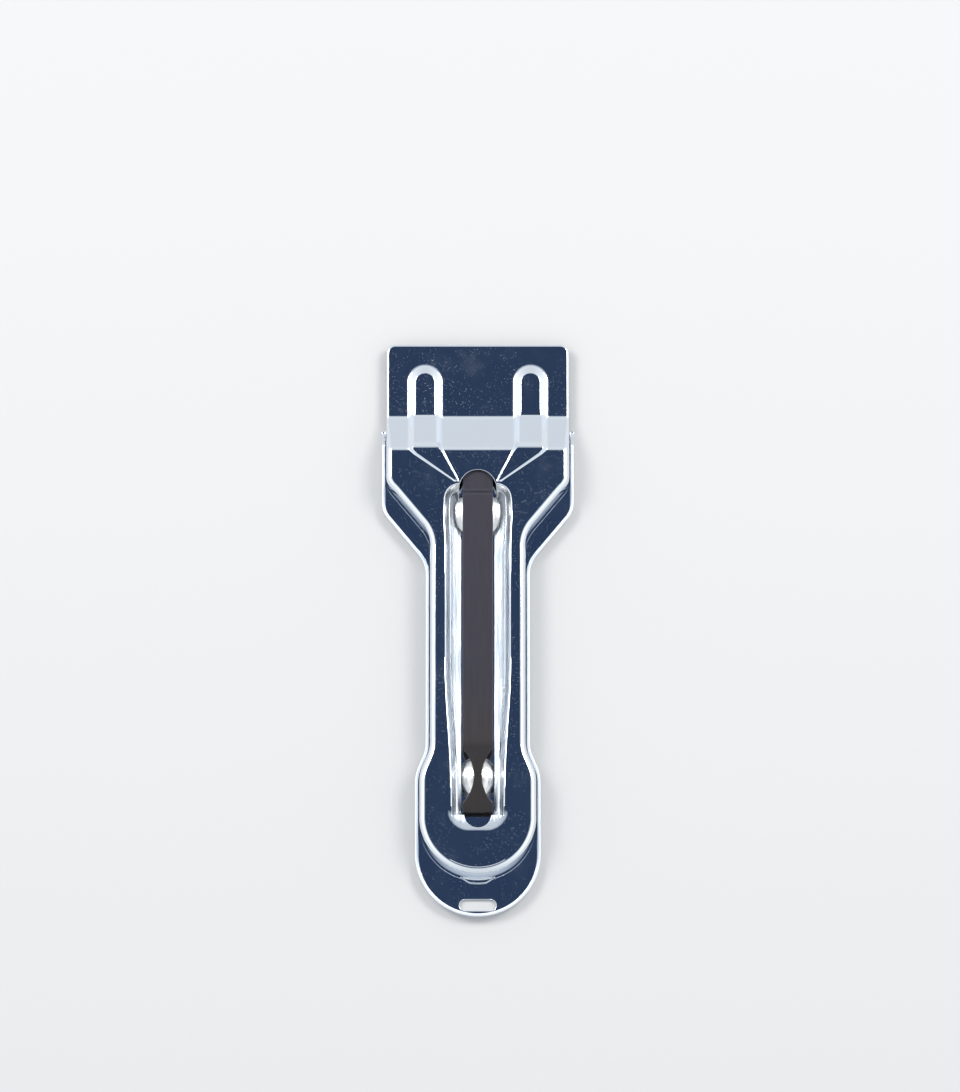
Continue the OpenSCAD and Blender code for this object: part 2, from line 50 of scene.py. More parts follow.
def node_box(name):
    """Lowest and highest corner of a CAD node, in millimetres."""
    low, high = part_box(name)
    return np.array(low) / MM, np.array(high) / MM


# Places taken from the frame
cover_low, cover_high = node_box("upper_cover")
tray_low, tray_high = node_box("lower_tray")
leaf_low, leaf_high = node_box("leaf_spring")
rivet_low, rivet_high = node_box("front_rivet")
guide_low, guide_high = node_box("rear_guide")
blade_low, blade_high = node_box("blade")
_, back_high = node_box("blade_back")
FRONT_Y = cover_high[1]
TRAY_TAIL_Y = tray_low[1]
HALF_HEAD = cover_high[0]
RIVET_Y = (rivet_low[1] + rivet_high[1]) / 2
GUIDE_Y = (guide_low[1] + guide_high[1]) / 2
LEAF_TOP = leaf_high[2]
FLANGE_Z = cover_low[2]
RIM_Z = tray_high[2]

# The cover seen from above
COVER_LEN = 133
HALF_NECK = 11.7
HALF_TAIL = 14.3
SHEET = 0.8
SHOULDER_Y = FRONT_Y - 35.7
NECK_FRONT_Y = SHOULDER_Y - 12.9
COVER_TAIL_Y = FRONT_Y - COVER_LEN
NECK_REAR_Y = COVER_TAIL_Y + 31.9
FLARE_END_Y = NECK_REAR_Y - 6.1
FRONT_CORNER_R = 2.2
SHOULDER_R = 5
NECK_R = 9
# Heights and bends of the cover
HEAD_H = 3.4
HANDLE_H = 8.5
BEND_R = 1.6
HEAD_BEND_R = 0.6
STEP_FOOT_R = 2.2
STEP_CREST_R = 2.2
STEP_FOOT_Y = FRONT_Y - 18.4
STEP_CREST_Y = STEP_FOOT_Y - 8.5
TAIL_LEAN = math.radians(9)
FRONT_LIP_Z = 2
EDGE_R = 0.16
FLANGE_EDGE_R = EDGE_R * 1.5
# Ribs
RIB_X = 13
RIB_HALF_FOOT = 5
RIB_IN = RIB_X - RIB_HALF_FOOT
RIB_OUT = RIB_X + RIB_HALF_FOOT
RIB_SLOPE = 2.7
RIB_H = 1.2
RIB_TIP_Y = FRONT_Y - 4.7
# Channel, slot and arch
CHANNEL_HALF = 8.1
CHANNEL_FRONT_Y = FRONT_Y - 35.4
CHANNEL_REAR_Y = COVER_TAIL_Y + 11
CHANNEL_FRONT_R = 3.6
CHANNEL_REAR_R = 6
NARROWING = 1.45
NARROW_FROM_Y = -8
NARROW_TO_Y = -40
BULGE = 0.35
BULGE_REACH = 5.0
SLOT_HALF = 4
SLOT_REAR_Y = CHANNEL_REAR_Y + 4.6
ARCH_R = 4.5
ARCH_Y = CHANNEL_FRONT_Y + 3.2 - ARCH_R
NOTCH_R = 3.3
# Section of the channel's sides, and the shallow pocket round the slot's rear end
SHOULDER_W = 1.5
WALL = math.radians(75)
LIP = math.radians(37)
LIP_DROP = 2.2
TOP_BEND = 0.42
LOW_BEND = 0.3
END_WALL_Y = SLOT_REAR_Y - 0.3
POCKET_SLOPE = 0.18
POCKET_SOFT = 0.9
POCKET_FADE = 3.5
# Lip at the foot of the tail's flange
TAIL_LIP_HALF = 4.3
TAIL_LIP_OUT = 0.8
TAIL_LIP_EASE = 2.6
# Tray
SIDE_GAP = 0.3
TRAVEL = 5.6
TRAY_GRID_HALF = 24
RIM_BEND_R = 0.9
RIM_START_Y = FRONT_Y - 21.5
RIM_RISE = 4
SEAT_HALF = HALF_HEAD - 1.3
SEAT_FRONT_Y = FRONT_Y - 6.8
SEAT_CORNER_R = 1.5
SEAT_STEP_Y = back_high[1] + 0.6
SEAT_Z = blade_low[2] - 0.05
BLADE_DEPTH = 19
PEG_X = blade_high[0]
PEG_Y = blade_high[1] - BLADE_DEPTH * 0.45
PEG_R = 1.3
PEG_H = 0.45
PEG_BEVEL = 0.12
WINDOW_HALF_LEN = 4.5
WINDOW_HALF_W = 1.4
WINDOW_Y = TRAY_TAIL_Y + 3.0
# Leaf spring
LEAF_HALF = 3.75
LEAF_T = 0.5
LEAF_JOGGLE = 0.75
LEAF_FRONT_Y = leaf_high[1]
LEAF_REAR_Y = leaf_low[1]
LEAF_CORNER_R = 0.35
LEAF_SLOPE = math.radians(11)
LEAF_REAR_LEN = 16.6
LEAF_WAIST = 1.0
LEAF_NOTCH_R = 9
LEAF_CROWN = 0.012
LEAF_BEND_Y = ARCH_Y - 0.1
LEAF_BEND_LEN = 1.5
# Front rivet and rear guide
RIVET_HEAD_R = 5.9
RIVET_CROWN = 1.85
RIVET_NECK_R = 3.9
GUIDE_R = 5.2
GUIDE_CROWN = 2.4
GUIDE_HALF = 3.9
GUIDE_EDGE_R = 0.2
SHANK_R = 2.4
SET_R = 3.0
SET_END = [(SHANK_R, 0.2), (SET_R, 0.0), (0.0, 0.0)]


def smooth(t):
    """Eases from 0 to 1 as t goes from 0 to 1."""
    t = np.clip(t, 0, 1)
    return t * t * (3 - 2 * t)


def softened(t, softness):
    """0 below t = 0 and t above it, with the corner between them rounded."""
    return 0.5 * (t + np.sqrt(t**2 + softness))


def spaced(a, b, step):
    """Numbers from a to b, no more than a step apart."""
    return np.linspace(a, b, max(2, int(math.ceil(abs(b - a) / step)) + 1))


def steps(start, *stretches):
    """Numbers from start through stretches, which each have an end and a largest step."""
    parts = []
    for end, step in stretches:
        parts.append(spaced(start, end, step))
        start = end
    return np.concatenate(parts)


def grid(xs, ys):
    """Every point with one of the xs and one of the ys."""
    gx, gy = np.meshgrid(xs, ys)
    return np.stack([gx.ravel(), gy.ravel()], 1)


def both_sides(xs):
    """Places on the right half and their mirror images."""
    xs = np.asarray(xs)
    return np.unique(np.round(np.concatenate([-xs, xs]), 5))


def rounded_profile(points, r, n=5):
    """A line of points with its inner corners rounded."""
    out = [points[0]]
    for a, b, c in zip(points[:-2], points[1:-1], points[2:]):
        a, b, c = (np.array(p, float) for p in (a, b, c))
        da, dc = np.linalg.norm(a - b), np.linalg.norm(c - b)
        cut = min(r, da * 0.45, dc * 0.45)
        p, q = b + (a - b) / da * cut, b + (c - b) / dc * cut
        out += [tuple((1 - t) ** 2 * p + 2 * t * (1 - t) * b + t * t * q) for t in np.linspace(0, 1, n)]
    return out + [points[-1]]


# Outlines: arrays of x, y and the outward normal, walked clockwise from the middle of the front edge
def arc_at_corner(a, b, c, r, step=4):
    """Fillet at b between a and c, every few degrees."""
    a, b, c = (np.array(p, float) for p in (a, b, c))
    u, v = (a - b) / np.linalg.norm(a - b), (c - b) / np.linalg.norm(c - b)
    half = math.acos(np.clip(u @ v, -1, 1)) / 2
    middle = (u + v) / np.linalg.norm(u + v)
    centre = b + middle * r / math.sin(half)
    first, last = b + u * r / math.tan(half) - centre, b + v * r / math.tan(half) - centre
    start = math.atan2(first[1], first[0])
    sweep = (math.atan2(last[1], last[0]) - start + math.pi) % (2 * math.pi) - math.pi
    turn = (b[0] - a[0]) * (c[1] - b[1]) - (b[1] - a[1]) * (c[0] - b[0])
    side = 1 if turn < 0 else -1
    angles = start + sweep * np.linspace(0, 1, max(3, int(abs(math.degrees(sweep)) / step) + 1))
    d = np.stack([np.cos(angles), np.sin(angles)], 1)
    return np.hstack([centre + r * d, side * d])


def fill_straights(points, gap_at):
    """Adds points on the straight stretches, as close together as gap_at allows at each y."""
    out = [points[0]]
    for a, b in zip(points[:-1], points[1:]):
        length = np.linalg.norm(b[:2] - a[:2])
        n = int(math.ceil(length / gap_at((a[1] + b[1]) / 2)))
        if length <= 0.5 or n < 2:
            out.append(b)
            continue
        for k in range(n):
            p, q = a + (b - a) * k / n, a + (b - a) * (k + 1) / n
            m = max(1, int(math.ceil(np.linalg.norm(q[:2] - p[:2]) / gap_at((p[1] + q[1]) / 2))))
            out += [p + (q - p) * (j + 1) / m for j in range(m)]
    return np.array(out)


def half_outline(front, shoulder_shift, tail, gap_at):
    """Right half of the scraper's outline, from the middle of the front edge to the tail."""
    v1, v2 = (HALF_HEAD, front), (HALF_HEAD, SHOULDER_Y - shoulder_shift)
    v3, v4 = (HALF_NECK, NECK_FRONT_Y - shoulder_shift), (HALF_NECK, NECK_REAR_Y)
    v5, v6 = (HALF_TAIL, FLARE_END_Y), (HALF_TAIL, tail + HALF_TAIL)
    tail_angles = np.radians(np.arange(0, 90.1, 2.5))
    d = np.stack([np.cos(tail_angles), -np.sin(tail_angles)], 1)
    round_tail = np.hstack([np.array([0, tail + HALF_TAIL]) + HALF_TAIL * d, d])
    pieces = [np.array([[0, front, 0, 1.0]]), arc_at_corner((0, front), v1, v2, FRONT_CORNER_R, 9),
              arc_at_corner(v1, v2, v3, SHOULDER_R), arc_at_corner(v2, v3, v4, NECK_R),
              arc_at_corner(v3, v4, v5, NECK_R), arc_at_corner(v4, v5, v6, NECK_R), round_tail]
    return fill_straights(np.vstack(pieces), gap_at)


def whole_ring(half):
    """A right half from (0, front) to (0, tail) and its mirror image, as one closed ring."""
    left = half[-2:0:-1].copy()
    left[:, [0, 2]] *= -1
    return np.vstack([half, left])


# Heights of the cover's outer surface
STEP_ANGLE = math.atan2(HANDLE_H - HEAD_H, STEP_FOOT_Y - STEP_CREST_Y)


def step_height(y, lift):
    """Height of the plate along the scraper, raised by a lift along its normals."""
    foot_y = STEP_FOOT_Y + STEP_FOOT_R * math.tan(STEP_ANGLE / 2)
    crest_y = STEP_CREST_Y - STEP_CREST_R * math.tan(STEP_ANGLE / 2)
    foot_r, crest_r = STEP_FOOT_R - lift, STEP_CREST_R + lift
    slope = HEAD_H + (STEP_FOOT_Y - y) * math.tan(STEP_ANGLE) + lift / math.cos(STEP_ANGLE)
    foot = HEAD_H + STEP_FOOT_R - np.sqrt(np.maximum(foot_r**2 - (foot_y - y) ** 2, 0))
    crest = HANDLE_H - STEP_CREST_R + np.sqrt(np.maximum(crest_r**2 - (y - crest_y) ** 2, 0))
    z = np.where(y >= foot_y, HEAD_H + lift, slope)
    z = np.where((y < foot_y) & (foot_y - y < foot_r * math.sin(STEP_ANGLE)), foot, z)
    z = np.where((y > crest_y) & (y - crest_y < crest_r * math.sin(STEP_ANGLE)), crest, z)
    return np.where(y <= crest_y, HANDLE_H + lift, z)


# Along a rib and the ridge behind it: y, inner foot x, outer foot x, slope width inside, outside, height
RIDGE_END_Y = CHANNEL_FRONT_Y + 0.7
RIDGE = np.array([
    [RIDGE_END_Y - 0.5, 4.4, 6.2, 0.4, 0.6, 0],
    [RIDGE_END_Y, 4.6, 6.6, 0.4, 0.8, 0.24],
    [STEP_CREST_Y - 1.4, 7.9, 16.0, 0.6, 1.1, 0.85],
    [STEP_CREST_Y - 0.2, 8.4, 17.5, 1.0, 1.5, 1.0],
    [STEP_CREST_Y + 1.4, 8.3, 17.7, 2.0, 2.0, RIB_H],
    [STEP_FOOT_Y - 0.6, 8.3, 17.7, 2.0, 2.0, RIB_H],
    [STEP_FOOT_Y + 1.6, RIB_IN, RIB_OUT, RIB_SLOPE, RIB_SLOPE, RIB_H],
])


def pressed_profile():
    """Height across a rib's slope, both from 0 to 1: a soft foot, a steep middle and a sharp crest."""
    place = np.linspace(0, 1, 201)
    slope = np.interp(place, [0, 0.16, 0.36, 0.55, 0.92, 1], [0, 0.1, 0.35, 1, 1, 0])
    height = np.concatenate([[0], np.cumsum((slope[1:] + slope[:-1]) / 2)])
    return place, height / height[-1]


PRESSED_PLACE, PRESSED_HEIGHT = pressed_profile()


def rib_lift(x, y):
    """Height of the ribs and ridges above the plate."""
    ax = np.abs(x)
    inner, outer, inner_w, outer_w, height = (np.interp(y, RIDGE[:, 0], RIDGE[:, k]) for k in range(1, 6))
    across = np.minimum((ax - inner) / inner_w, (outer - ax) / outer_w)
    tip = RIB_TIP_Y - RIB_HALF_FOOT
    round_end = (RIB_HALF_FOOT - np.hypot(ax - RIB_X, np.maximum(y - tip, 0))) / RIB_SLOPE
    return height * np.interp(np.where(y > tip, round_end, across), PRESSED_PLACE, PRESSED_HEIGHT)


def channel_half(y):
    """Half width of the channel. It bulges round the head of the rivet and narrows towards the rear."""
    narrowing = NARROWING * smooth((NARROW_FROM_Y - y) / (NARROW_FROM_Y - NARROW_TO_Y))
    return CHANNEL_HALF + BULGE * np.exp(-(((y - RIVET_Y) / BULGE_REACH) ** 2)) - narrowing


def rounded_inset(dx, dy, r):
    """Distance inside a rounded corner, from how far a point lies past the corner's centre."""
    return r - np.hypot(np.maximum(dx, 0), np.maximum(dy, 0)) - np.minimum(np.maximum(dx, dy), 0)


def channel_inset(x, y):
    """Distance inside the channel's sides and its rounded front end, negative outside them."""
    r = CHANNEL_FRONT_R
    return rounded_inset(np.abs(x) - channel_half(y) + r, r - (CHANNEL_FRONT_Y - y), r)


def rear_inset(x, y):
    """Distance inside the rounded outline of the shallow pocket round the slot's rear end."""
    r = CHANNEL_REAR_R
    return rounded_inset(np.abs(x) - CHANNEL_HALF + r, r - (y - CHANNEL_REAR_Y), r)


def shoulder_profile():
    """Inset and drop of the channel's steep wall: bend, wall and bend back to level."""
    a = np.linspace(0, WALL, 12)
    inset, drop = list(TOP_BEND * np.sin(a)), list(TOP_BEND * (1 - np.cos(a)))
    run = SHOULDER_W - (TOP_BEND + LOW_BEND) * math.sin(WALL)
    x0, z0 = inset[-1] + run, drop[-1] + run * math.tan(WALL)
    for b in np.linspace(WALL, 0, 10):
        inset.append(x0 + LOW_BEND * (math.sin(WALL) - math.sin(b)))
        drop.append(z0 + LOW_BEND * (math.cos(b) - math.cos(WALL)))
    return np.array(inset), np.array(drop)


SHOULDER_INSETS, SHOULDER_DROPS = shoulder_profile()


def channel_drop(x, y):
    """Depth of the channel below the plate. Its lips slope on from the foot of its walls to the slot."""
    inset = channel_inset(x, y)
    lip = math.tan(LIP) * softened(inset - SHOULDER_W, 0.01) * (inset > 0)
    side = np.interp(inset, SHOULDER_INSETS, SHOULDER_DROPS, left=0) + np.minimum(lip, LIP_DROP)
    end = math.tan(WALL) * softened(y - END_WALL_Y, 0.04)
    edge = np.maximum(rear_inset(x, y), 0)
    soft = edge**2 / (2 * POCKET_SOFT)
    pocket = POCKET_SLOPE * np.where(edge < POCKET_SOFT, soft, edge - POCKET_SOFT / 2)
    pocket *= smooth((END_WALL_Y + POCKET_FADE - y) / POCKET_FADE)
    return np.maximum(np.minimum(side, end), pocket)


def cover_height(x, y):
    """Height of the cover's outer surface."""
    return step_height(y, rib_lift(x, y)) - channel_drop(x, y)


def height_normals(height, x, y, h=0.004):
    """Unit normals of a surface given by its height."""
    nx = (height(x - h, y) - height(x + h, y)) / (2 * h)
    ny = (height(x, y - h) - height(x, y + h)) / (2 * h)
    n = np.stack([nx, ny, np.ones_like(nx)], 1)
    return n / np.linalg.norm(n, axis=1, keepdims=True)


# Loops that bound holes: x, y and the direction into the hole
def with_inward(loop):
    """Adds to each point of a loop the unit direction towards the hole that the loop bounds."""
    area = np.sum(loop[:, 0] * np.roll(loop[:, 1], -1) - np.roll(loop[:, 0], -1) * loop[:, 1])
    tangent = np.roll(loop, -1, 0) - np.roll(loop, 1, 0)
    tangent /= np.linalg.norm(tangent, axis=1, keepdims=True)
    inward = np.stack([-tangent[:, 1], tangent[:, 0]], 1) * (1 if area > 0 else -1)
    return np.hstack([loop, inward])


def slot_loop(step=0.6):
    """The slot with its arch in front and its round notch behind."""
    side_top = RIVET_Y + TRAVEL / 2
    arch = np.radians(np.arange(0, 180.1, 5))
    notch = np.radians(np.arange(186, 354.1, 6))
    right = [(NOTCH_R, SLOT_REAR_Y)] + [(SLOT_HALF, y) for y in spaced(SLOT_REAR_Y, side_top - 3, step)]
    right += [(ARCH_R, side_top), (ARCH_R, side_top + 1.3)]
    top = [(ARCH_R * math.cos(a), ARCH_Y + ARCH_R * math.sin(a)) for a in arch]
    left = [(-x, y) for x, y in reversed(right)]
    bottom = [(NOTCH_R * math.cos(a), SLOT_REAR_Y + NOTCH_R * math.sin(a)) for a in notch]
    return with_inward(np.array(right + top + left + bottom))


def round_hole_loop(y, r, n=48):
    """A round hole on the scraper's middle line."""
    a = np.arange(n) * 2 * math.pi / n
    return with_inward(np.stack([r * np.cos(a), y + r * np.sin(a)], 1))


def window_loop():
    """The oblong window in the tray's tail."""
    a = np.radians(np.arange(-90, 90.1, 9))
    reach = WINDOW_HALF_LEN - WINDOW_HALF_W
    right = [(reach + WINDOW_HALF_W * math.cos(t), WINDOW_Y + WINDOW_HALF_W * math.sin(t)) for t in a]
    return with_inward(np.array(right + [(-x, 2 * WINDOW_Y - y) for x, y in right]))


# Meshes
def new_object(name, data):
    """A new object in the scene."""
    obj = bpy.data.objects.new(name, data)
    bpy.context.scene.collection.objects.link(obj)
    return obj


def thinned(points, gap):
    """Points with close neighbours dropped, the first of each pair kept."""
    keys = np.round(points / gap).astype(np.int64)
    _, keep = np.unique(keys, axis=0, return_index=True)
    return points[np.sort(keep)]


def inside_loop(points, loop):
    """Which points lie inside a closed loop."""
    x, y = points[:, 0], points[:, 1]
    inside = np.zeros(len(points), bool)
    for (x1, y1), (x2, y2) in zip(loop[:, :2], np.roll(loop[:, :2], -1, 0)):
        if y1 == y2:
            continue
        cross = (y1 > y) != (y2 > y)
        inside ^= cross & (x < (x2 - x1) * (y - y1) / (y2 - y1) + x1)
    return inside


def near_loop(points, loop, gap):
    """Which points lie closer to a closed loop than a gap."""
    near = np.zeros(len(points), bool)
    for a, b in zip(loop[:, :2], np.roll(loop[:, :2], -1, 0)):
        d = b - a
        box = (np.abs(points - (a + b) / 2) < np.abs(d) / 2 + gap).all(1)
        if not box.any():
            continue
        p = points[box] - a
        t = np.clip(p @ d / max(d @ d, 1e-12), 0, 1)
        near[np.flatnonzero(box)] |= np.linalg.norm(p - t[:, None] * d, axis=1) < gap
    return near


def plate_triangles(rim, holes, inner_points, gap):
    """Triangles of a flat region between a rim loop and hole loops, through the inner points."""
    points = thinned(inner_points, gap)
    points = points[inside_loop(points, rim) & ~near_loop(points, rim, gap)]
    for hole in holes:
        points = points[~inside_loop(points, hole) & ~near_loop(points, hole, gap)]
    coords, edges = [], []
    for loop in [rim] + holes:
        start, n = len(coords), len(loop)
        coords += [Vector(p) for p in loop[:, :2]]
        edges += [(start + k, start + (k + 1) % n) for k in range(n)]
    coords += [Vector(p) for p in points]
    verts, _, faces, *_ = delaunay_2d_cdt(coords, edges, [], 1, 1e-7)
    if len(verts) != len(coords):
        raise ValueError("the plate's loops and points run into each other")
    flat, triangles = np.array([tuple(v) for v in verts]), np.array([tuple(f) for f in faces])
    middles = flat[triangles].mean(1)
    keep = inside_loop(middles, rim)
    for hole in holes:
        keep &= ~inside_loop(middles, hole)
    a, b, c = (flat[triangles[:, k]] for k in range(3))
    turned = (b[:, 0] - a[:, 0]) * (c[:, 1] - a[:, 1]) < (b[:, 1] - a[:, 1]) * (c[:, 0] - a[:, 0])
    triangles[turned] = triangles[turned][:, ::-1]
    return flat, triangles[keep]


class Skin:
    """A growing mesh: vertices in millimetres, faces, and the normals that are known."""

    def __init__(self):
        self.verts, self.faces, self.normals = [], [], {}

    def add(self, points, normals=None):
        """Adds vertices and returns their numbers."""
        start = len(self.verts)
        self.verts += [tuple(p) for p in points]
        if normals is not None:
            self.normals.update({start + k: tuple(n) for k, n in enumerate(normals)})
        return np.arange(start, start + len(points))

    def strips(self, rings):
        """Quads between closed rings of the same length."""
        for a, b in zip(rings[:-1], rings[1:]):
            n = len(a)
            self.faces += [(a[k], a[(k + 1) % n], b[(k + 1) % n], b[k]) for k in range(n)]

    def fan(self, point, ring):
        """Triangles from a new vertex to a closed ring."""
        centre = self.add([tuple(point)])[0]
        self.faces += [(centre, a, b) for a, b in zip(ring, np.roll(ring, -1))]

    def welded(self):
        """Vertices, faces and normals with equal vertices joined and what collapses dropped."""
        points = np.array(self.verts)
        keys = np.round(points * 2e4).astype(np.int64)
        _, first, same = np.unique(keys, axis=0, return_index=True, return_inverse=True)
        same = same.ravel()
        normals = {int(same[k]): n for k, n in self.normals.items()}
        faces = []
        for face in self.faces:
            ids = [int(same[k]) for k in face]
            ids = [a for a, b in zip(ids, ids[-1:] + ids[:-1]) if a != b]
            if len(ids) > 2:
                faces.append(ids)
        return points[first], faces, normals

    def to_object(self, name):
        """A smooth Blender object, with the known normals set."""
        verts, faces, known = self.welded()
        mesh = bpy.data.meshes.new(name)
        mesh.from_pydata((verts * MM).tolist(), [], faces)
        mesh.validate()
        mesh.update()
        mesh.shade_smooth()
        normals = np.zeros(len(mesh.vertices) * 3, np.float32)
        mesh.vertex_normals.foreach_get("vector", normals)
        normals = normals.reshape(-1, 3)
        for k, n in known.items():
            normals[k] = n
        mesh.normals_split_custom_set_from_vertices(normals.tolist())
        return new_object(name, mesh)


def cut_edge(skin, upper, lower, inward, r):
    """Rounded wall of a hole between its upper and lower loop of vertices."""
    up = np.array([skin.verts[k] for k in upper])
    low = np.array([skin.verts[k] for k in lower])
    down = (low - up) / np.linalg.norm(low - up, axis=1, keepdims=True)
    into = np.hstack([inward, np.zeros((len(inward), 1))])
    into -= down * np.sum(into * down, 1)[:, None]
    into /= np.linalg.norm(into, axis=1, keepdims=True)
    rings = [upper]
    for a in np.radians([30, 60, 90]):
        rings.append(skin.add(up + into * r * math.sin(a) + down * r * (1 - math.cos(a))))
    for a in np.radians([90, 60, 30]):
        rings.append(skin.add(low + into * r * math.sin(a) - down * r * (1 - math.cos(a))))
    skin.strips(rings + [lower])


def grown(loop, distance):
    """A hole's loop moved away from the hole."""
    out = loop.copy()
    out[:, :2] -= loop[:, 2:] * distance
    return out


def pressed_plate(skin, rim, holes, inner_points, height, thickness, gap):
    """Both faces of a plate with its cut holes. Returns the rim's vertices, above and below."""
    wide = [grown(h, EDGE_R) for h in holes]
    flat, triangles = plate_triangles(rim, wide, inner_points, gap)
    x, y = flat[:, 0], flat[:, 1]
    normals = height_normals(height, x, y)
    top = np.stack([x, y, height(x, y)], 1)
    upper = skin.add(top, normals)
    lower = skin.add(top - thickness * normals, -normals)
    skin.faces += [tuple(f) for f in upper[triangles]]
    skin.faces += [tuple(f) for f in lower[triangles[:, ::-1]]]
    start = len(rim)
    for hole in wide:
        ids = np.arange(start, start + len(hole))
        cut_edge(skin, upper[ids], lower[ids], hole[:, 2:], EDGE_R)
        start += len(hole)
    return upper[: len(rim)], lower[: len(rim)]


# Cover
def cover_points():
    """Inner points of the cover's plate: a grid that is close where the ribs, step and channel bend."""
    across = steps(0, (RIB_IN - 0.1, 0.8), (RIB_IN + RIB_SLOPE + 0.2, 0.14),
                   (RIB_OUT - RIB_SLOPE - 0.2, 0.62), (RIB_OUT + 0.1, 0.14), (HALF_HEAD, 0.6))
    along = steps(FRONT_Y, (RIB_TIP_Y + 0.2, 0.6), (RIB_TIP_Y - 3.2, 0.14), (STEP_FOOT_Y + 0.9, 0.58),
                  (STEP_FOOT_Y - 2.1, 0.1), (STEP_CREST_Y + 0.9, 0.4), (STEP_CREST_Y - 0.1, 0.1))
    head = grid(both_sides(across), along)
    tip_y = RIB_TIP_Y - RIB_HALF_FOOT
    from_axis = np.hypot(np.abs(head[:, 0]) - RIB_X, head[:, 1] - tip_y)
    head = head[(from_axis >= RIB_HALF_FOOT + 0.1) | (head[:, 1] <= tip_y)]
    crest_rows = spaced(STEP_CREST_Y - 0.25, STEP_CREST_Y - 1.2, 0.12)
    crest = grid(both_sides(spaced(0, HALF_HEAD, 0.4)), crest_rows)
    crest = crest[rib_lift(crest[:, 0], crest[:, 1]) == 0]
    plate = grid(both_sides(spaced(0, HALF_HEAD, 0.8)), spaced(STEP_CREST_Y - 1.4, COVER_TAIL_Y, 0.8))
    x, y = plate[:, 0], plate[:, 1]
    plate = plate[((channel_inset(x, y) < -0.3) | (y < END_WALL_Y)) & (rear_inset(x, y) < -0.2)]
    return np.vstack([channel_points(), rib_tip_points(), head, ridge_points(), crest, plate])


def channel_points():
    """Points on contours of the channel, and grids on its end walls and in its pocket."""
    levels = np.concatenate([[-0.25, -0.1], SHOULDER_INSETS[::2], spaced(0.4, 1.2, 0.16),
                             spaced(1.4, 1.8, 0.1), spaced(2.1, 4.3, 0.35)])
    pocket_rows = spaced(CHANNEL_REAR_Y - 0.3, END_WALL_Y + POCKET_FADE + 0.5, 0.28)
    pocket = grid(both_sides(spaced(0, CHANNEL_HALF + 0.3, 0.28)), pocket_rows)
    wall_columns = both_sides(spaced(SLOT_HALF - 0.1, CHANNEL_HALF - 1.1, 0.12))
    end_wall = grid(wall_columns, spaced(END_WALL_Y - 0.6, END_WALL_Y + 1.8, 0.1))
    return np.vstack([channel_contour(inset) for inset in levels] + [pocket, end_wall])


def channel_contour(inset, step=0.6):
    """Points along the channel's sides and front end at an inset."""
    points = []
    centre_x, centre_y = CHANNEL_HALF - CHANNEL_FRONT_R, CHANNEL_FRONT_Y - CHANNEL_FRONT_R
    r = max(CHANNEL_FRONT_R - inset, 0.05)
    for a in np.radians(np.arange(0, 90.1, 4)):
        x, y = centre_x + r * math.cos(a), centre_y + r * math.sin(a)
        points += [(x, y), (-x, y)]
    for y in spaced(centre_y, END_WALL_Y + 0.3, step):
        x = channel_half(y) - inset
        points += [(x, y), (-x, y)]
    points += [(x, CHANNEL_FRONT_Y - inset) for x in spaced(-centre_x, centre_x, step)]
    return np.array(points)


def rib_tip_points():
    """Points on circles round the ribs' front ends."""
    arcs = []
    for side in (-1, 1):
        for r in spaced(0.6, RIB_HALF_FOOT, 0.15):
            a = np.radians(np.arange(0, 180.1, max(3, 20 / r)))
            x, y = side * (RIB_X + r * np.cos(a)), RIB_TIP_Y - RIB_HALF_FOOT + r * np.sin(a)
            arcs.append(np.stack([x, y], 1))
    return np.vstack(arcs)


def ridge_points():
    """Points along the feet and crests of the ridges, so that the mesh follows their edges."""
    points = []
    for y in spaced(RIDGE_END_Y - 0.5, STEP_CREST_Y - 0.15, 0.13):
        inner, outer, inner_w, outer_w = (np.interp(y, RIDGE[:, 0], RIDGE[:, k]) for k in range(1, 5))
        for share in (-0.2, 0, 0.18, 0.36, 0.52, 0.68, 0.84, 0.94, 1.02, 1.2):
            for x in (inner + share * inner_w, outer - share * outer_w):
                points += [(x, y), (-x, y)]
    return np.array(points)


def cover_gap(y):
    """Spacing of outline points: close along the step's two bends."""
    at_crest = STEP_CREST_Y - 1.5 < y < STEP_CREST_Y + 1.2
    at_foot = STEP_FOOT_Y - 1.2 < y < STEP_FOOT_Y + 0.8
    return 0.12 if at_crest or at_foot else 0.9


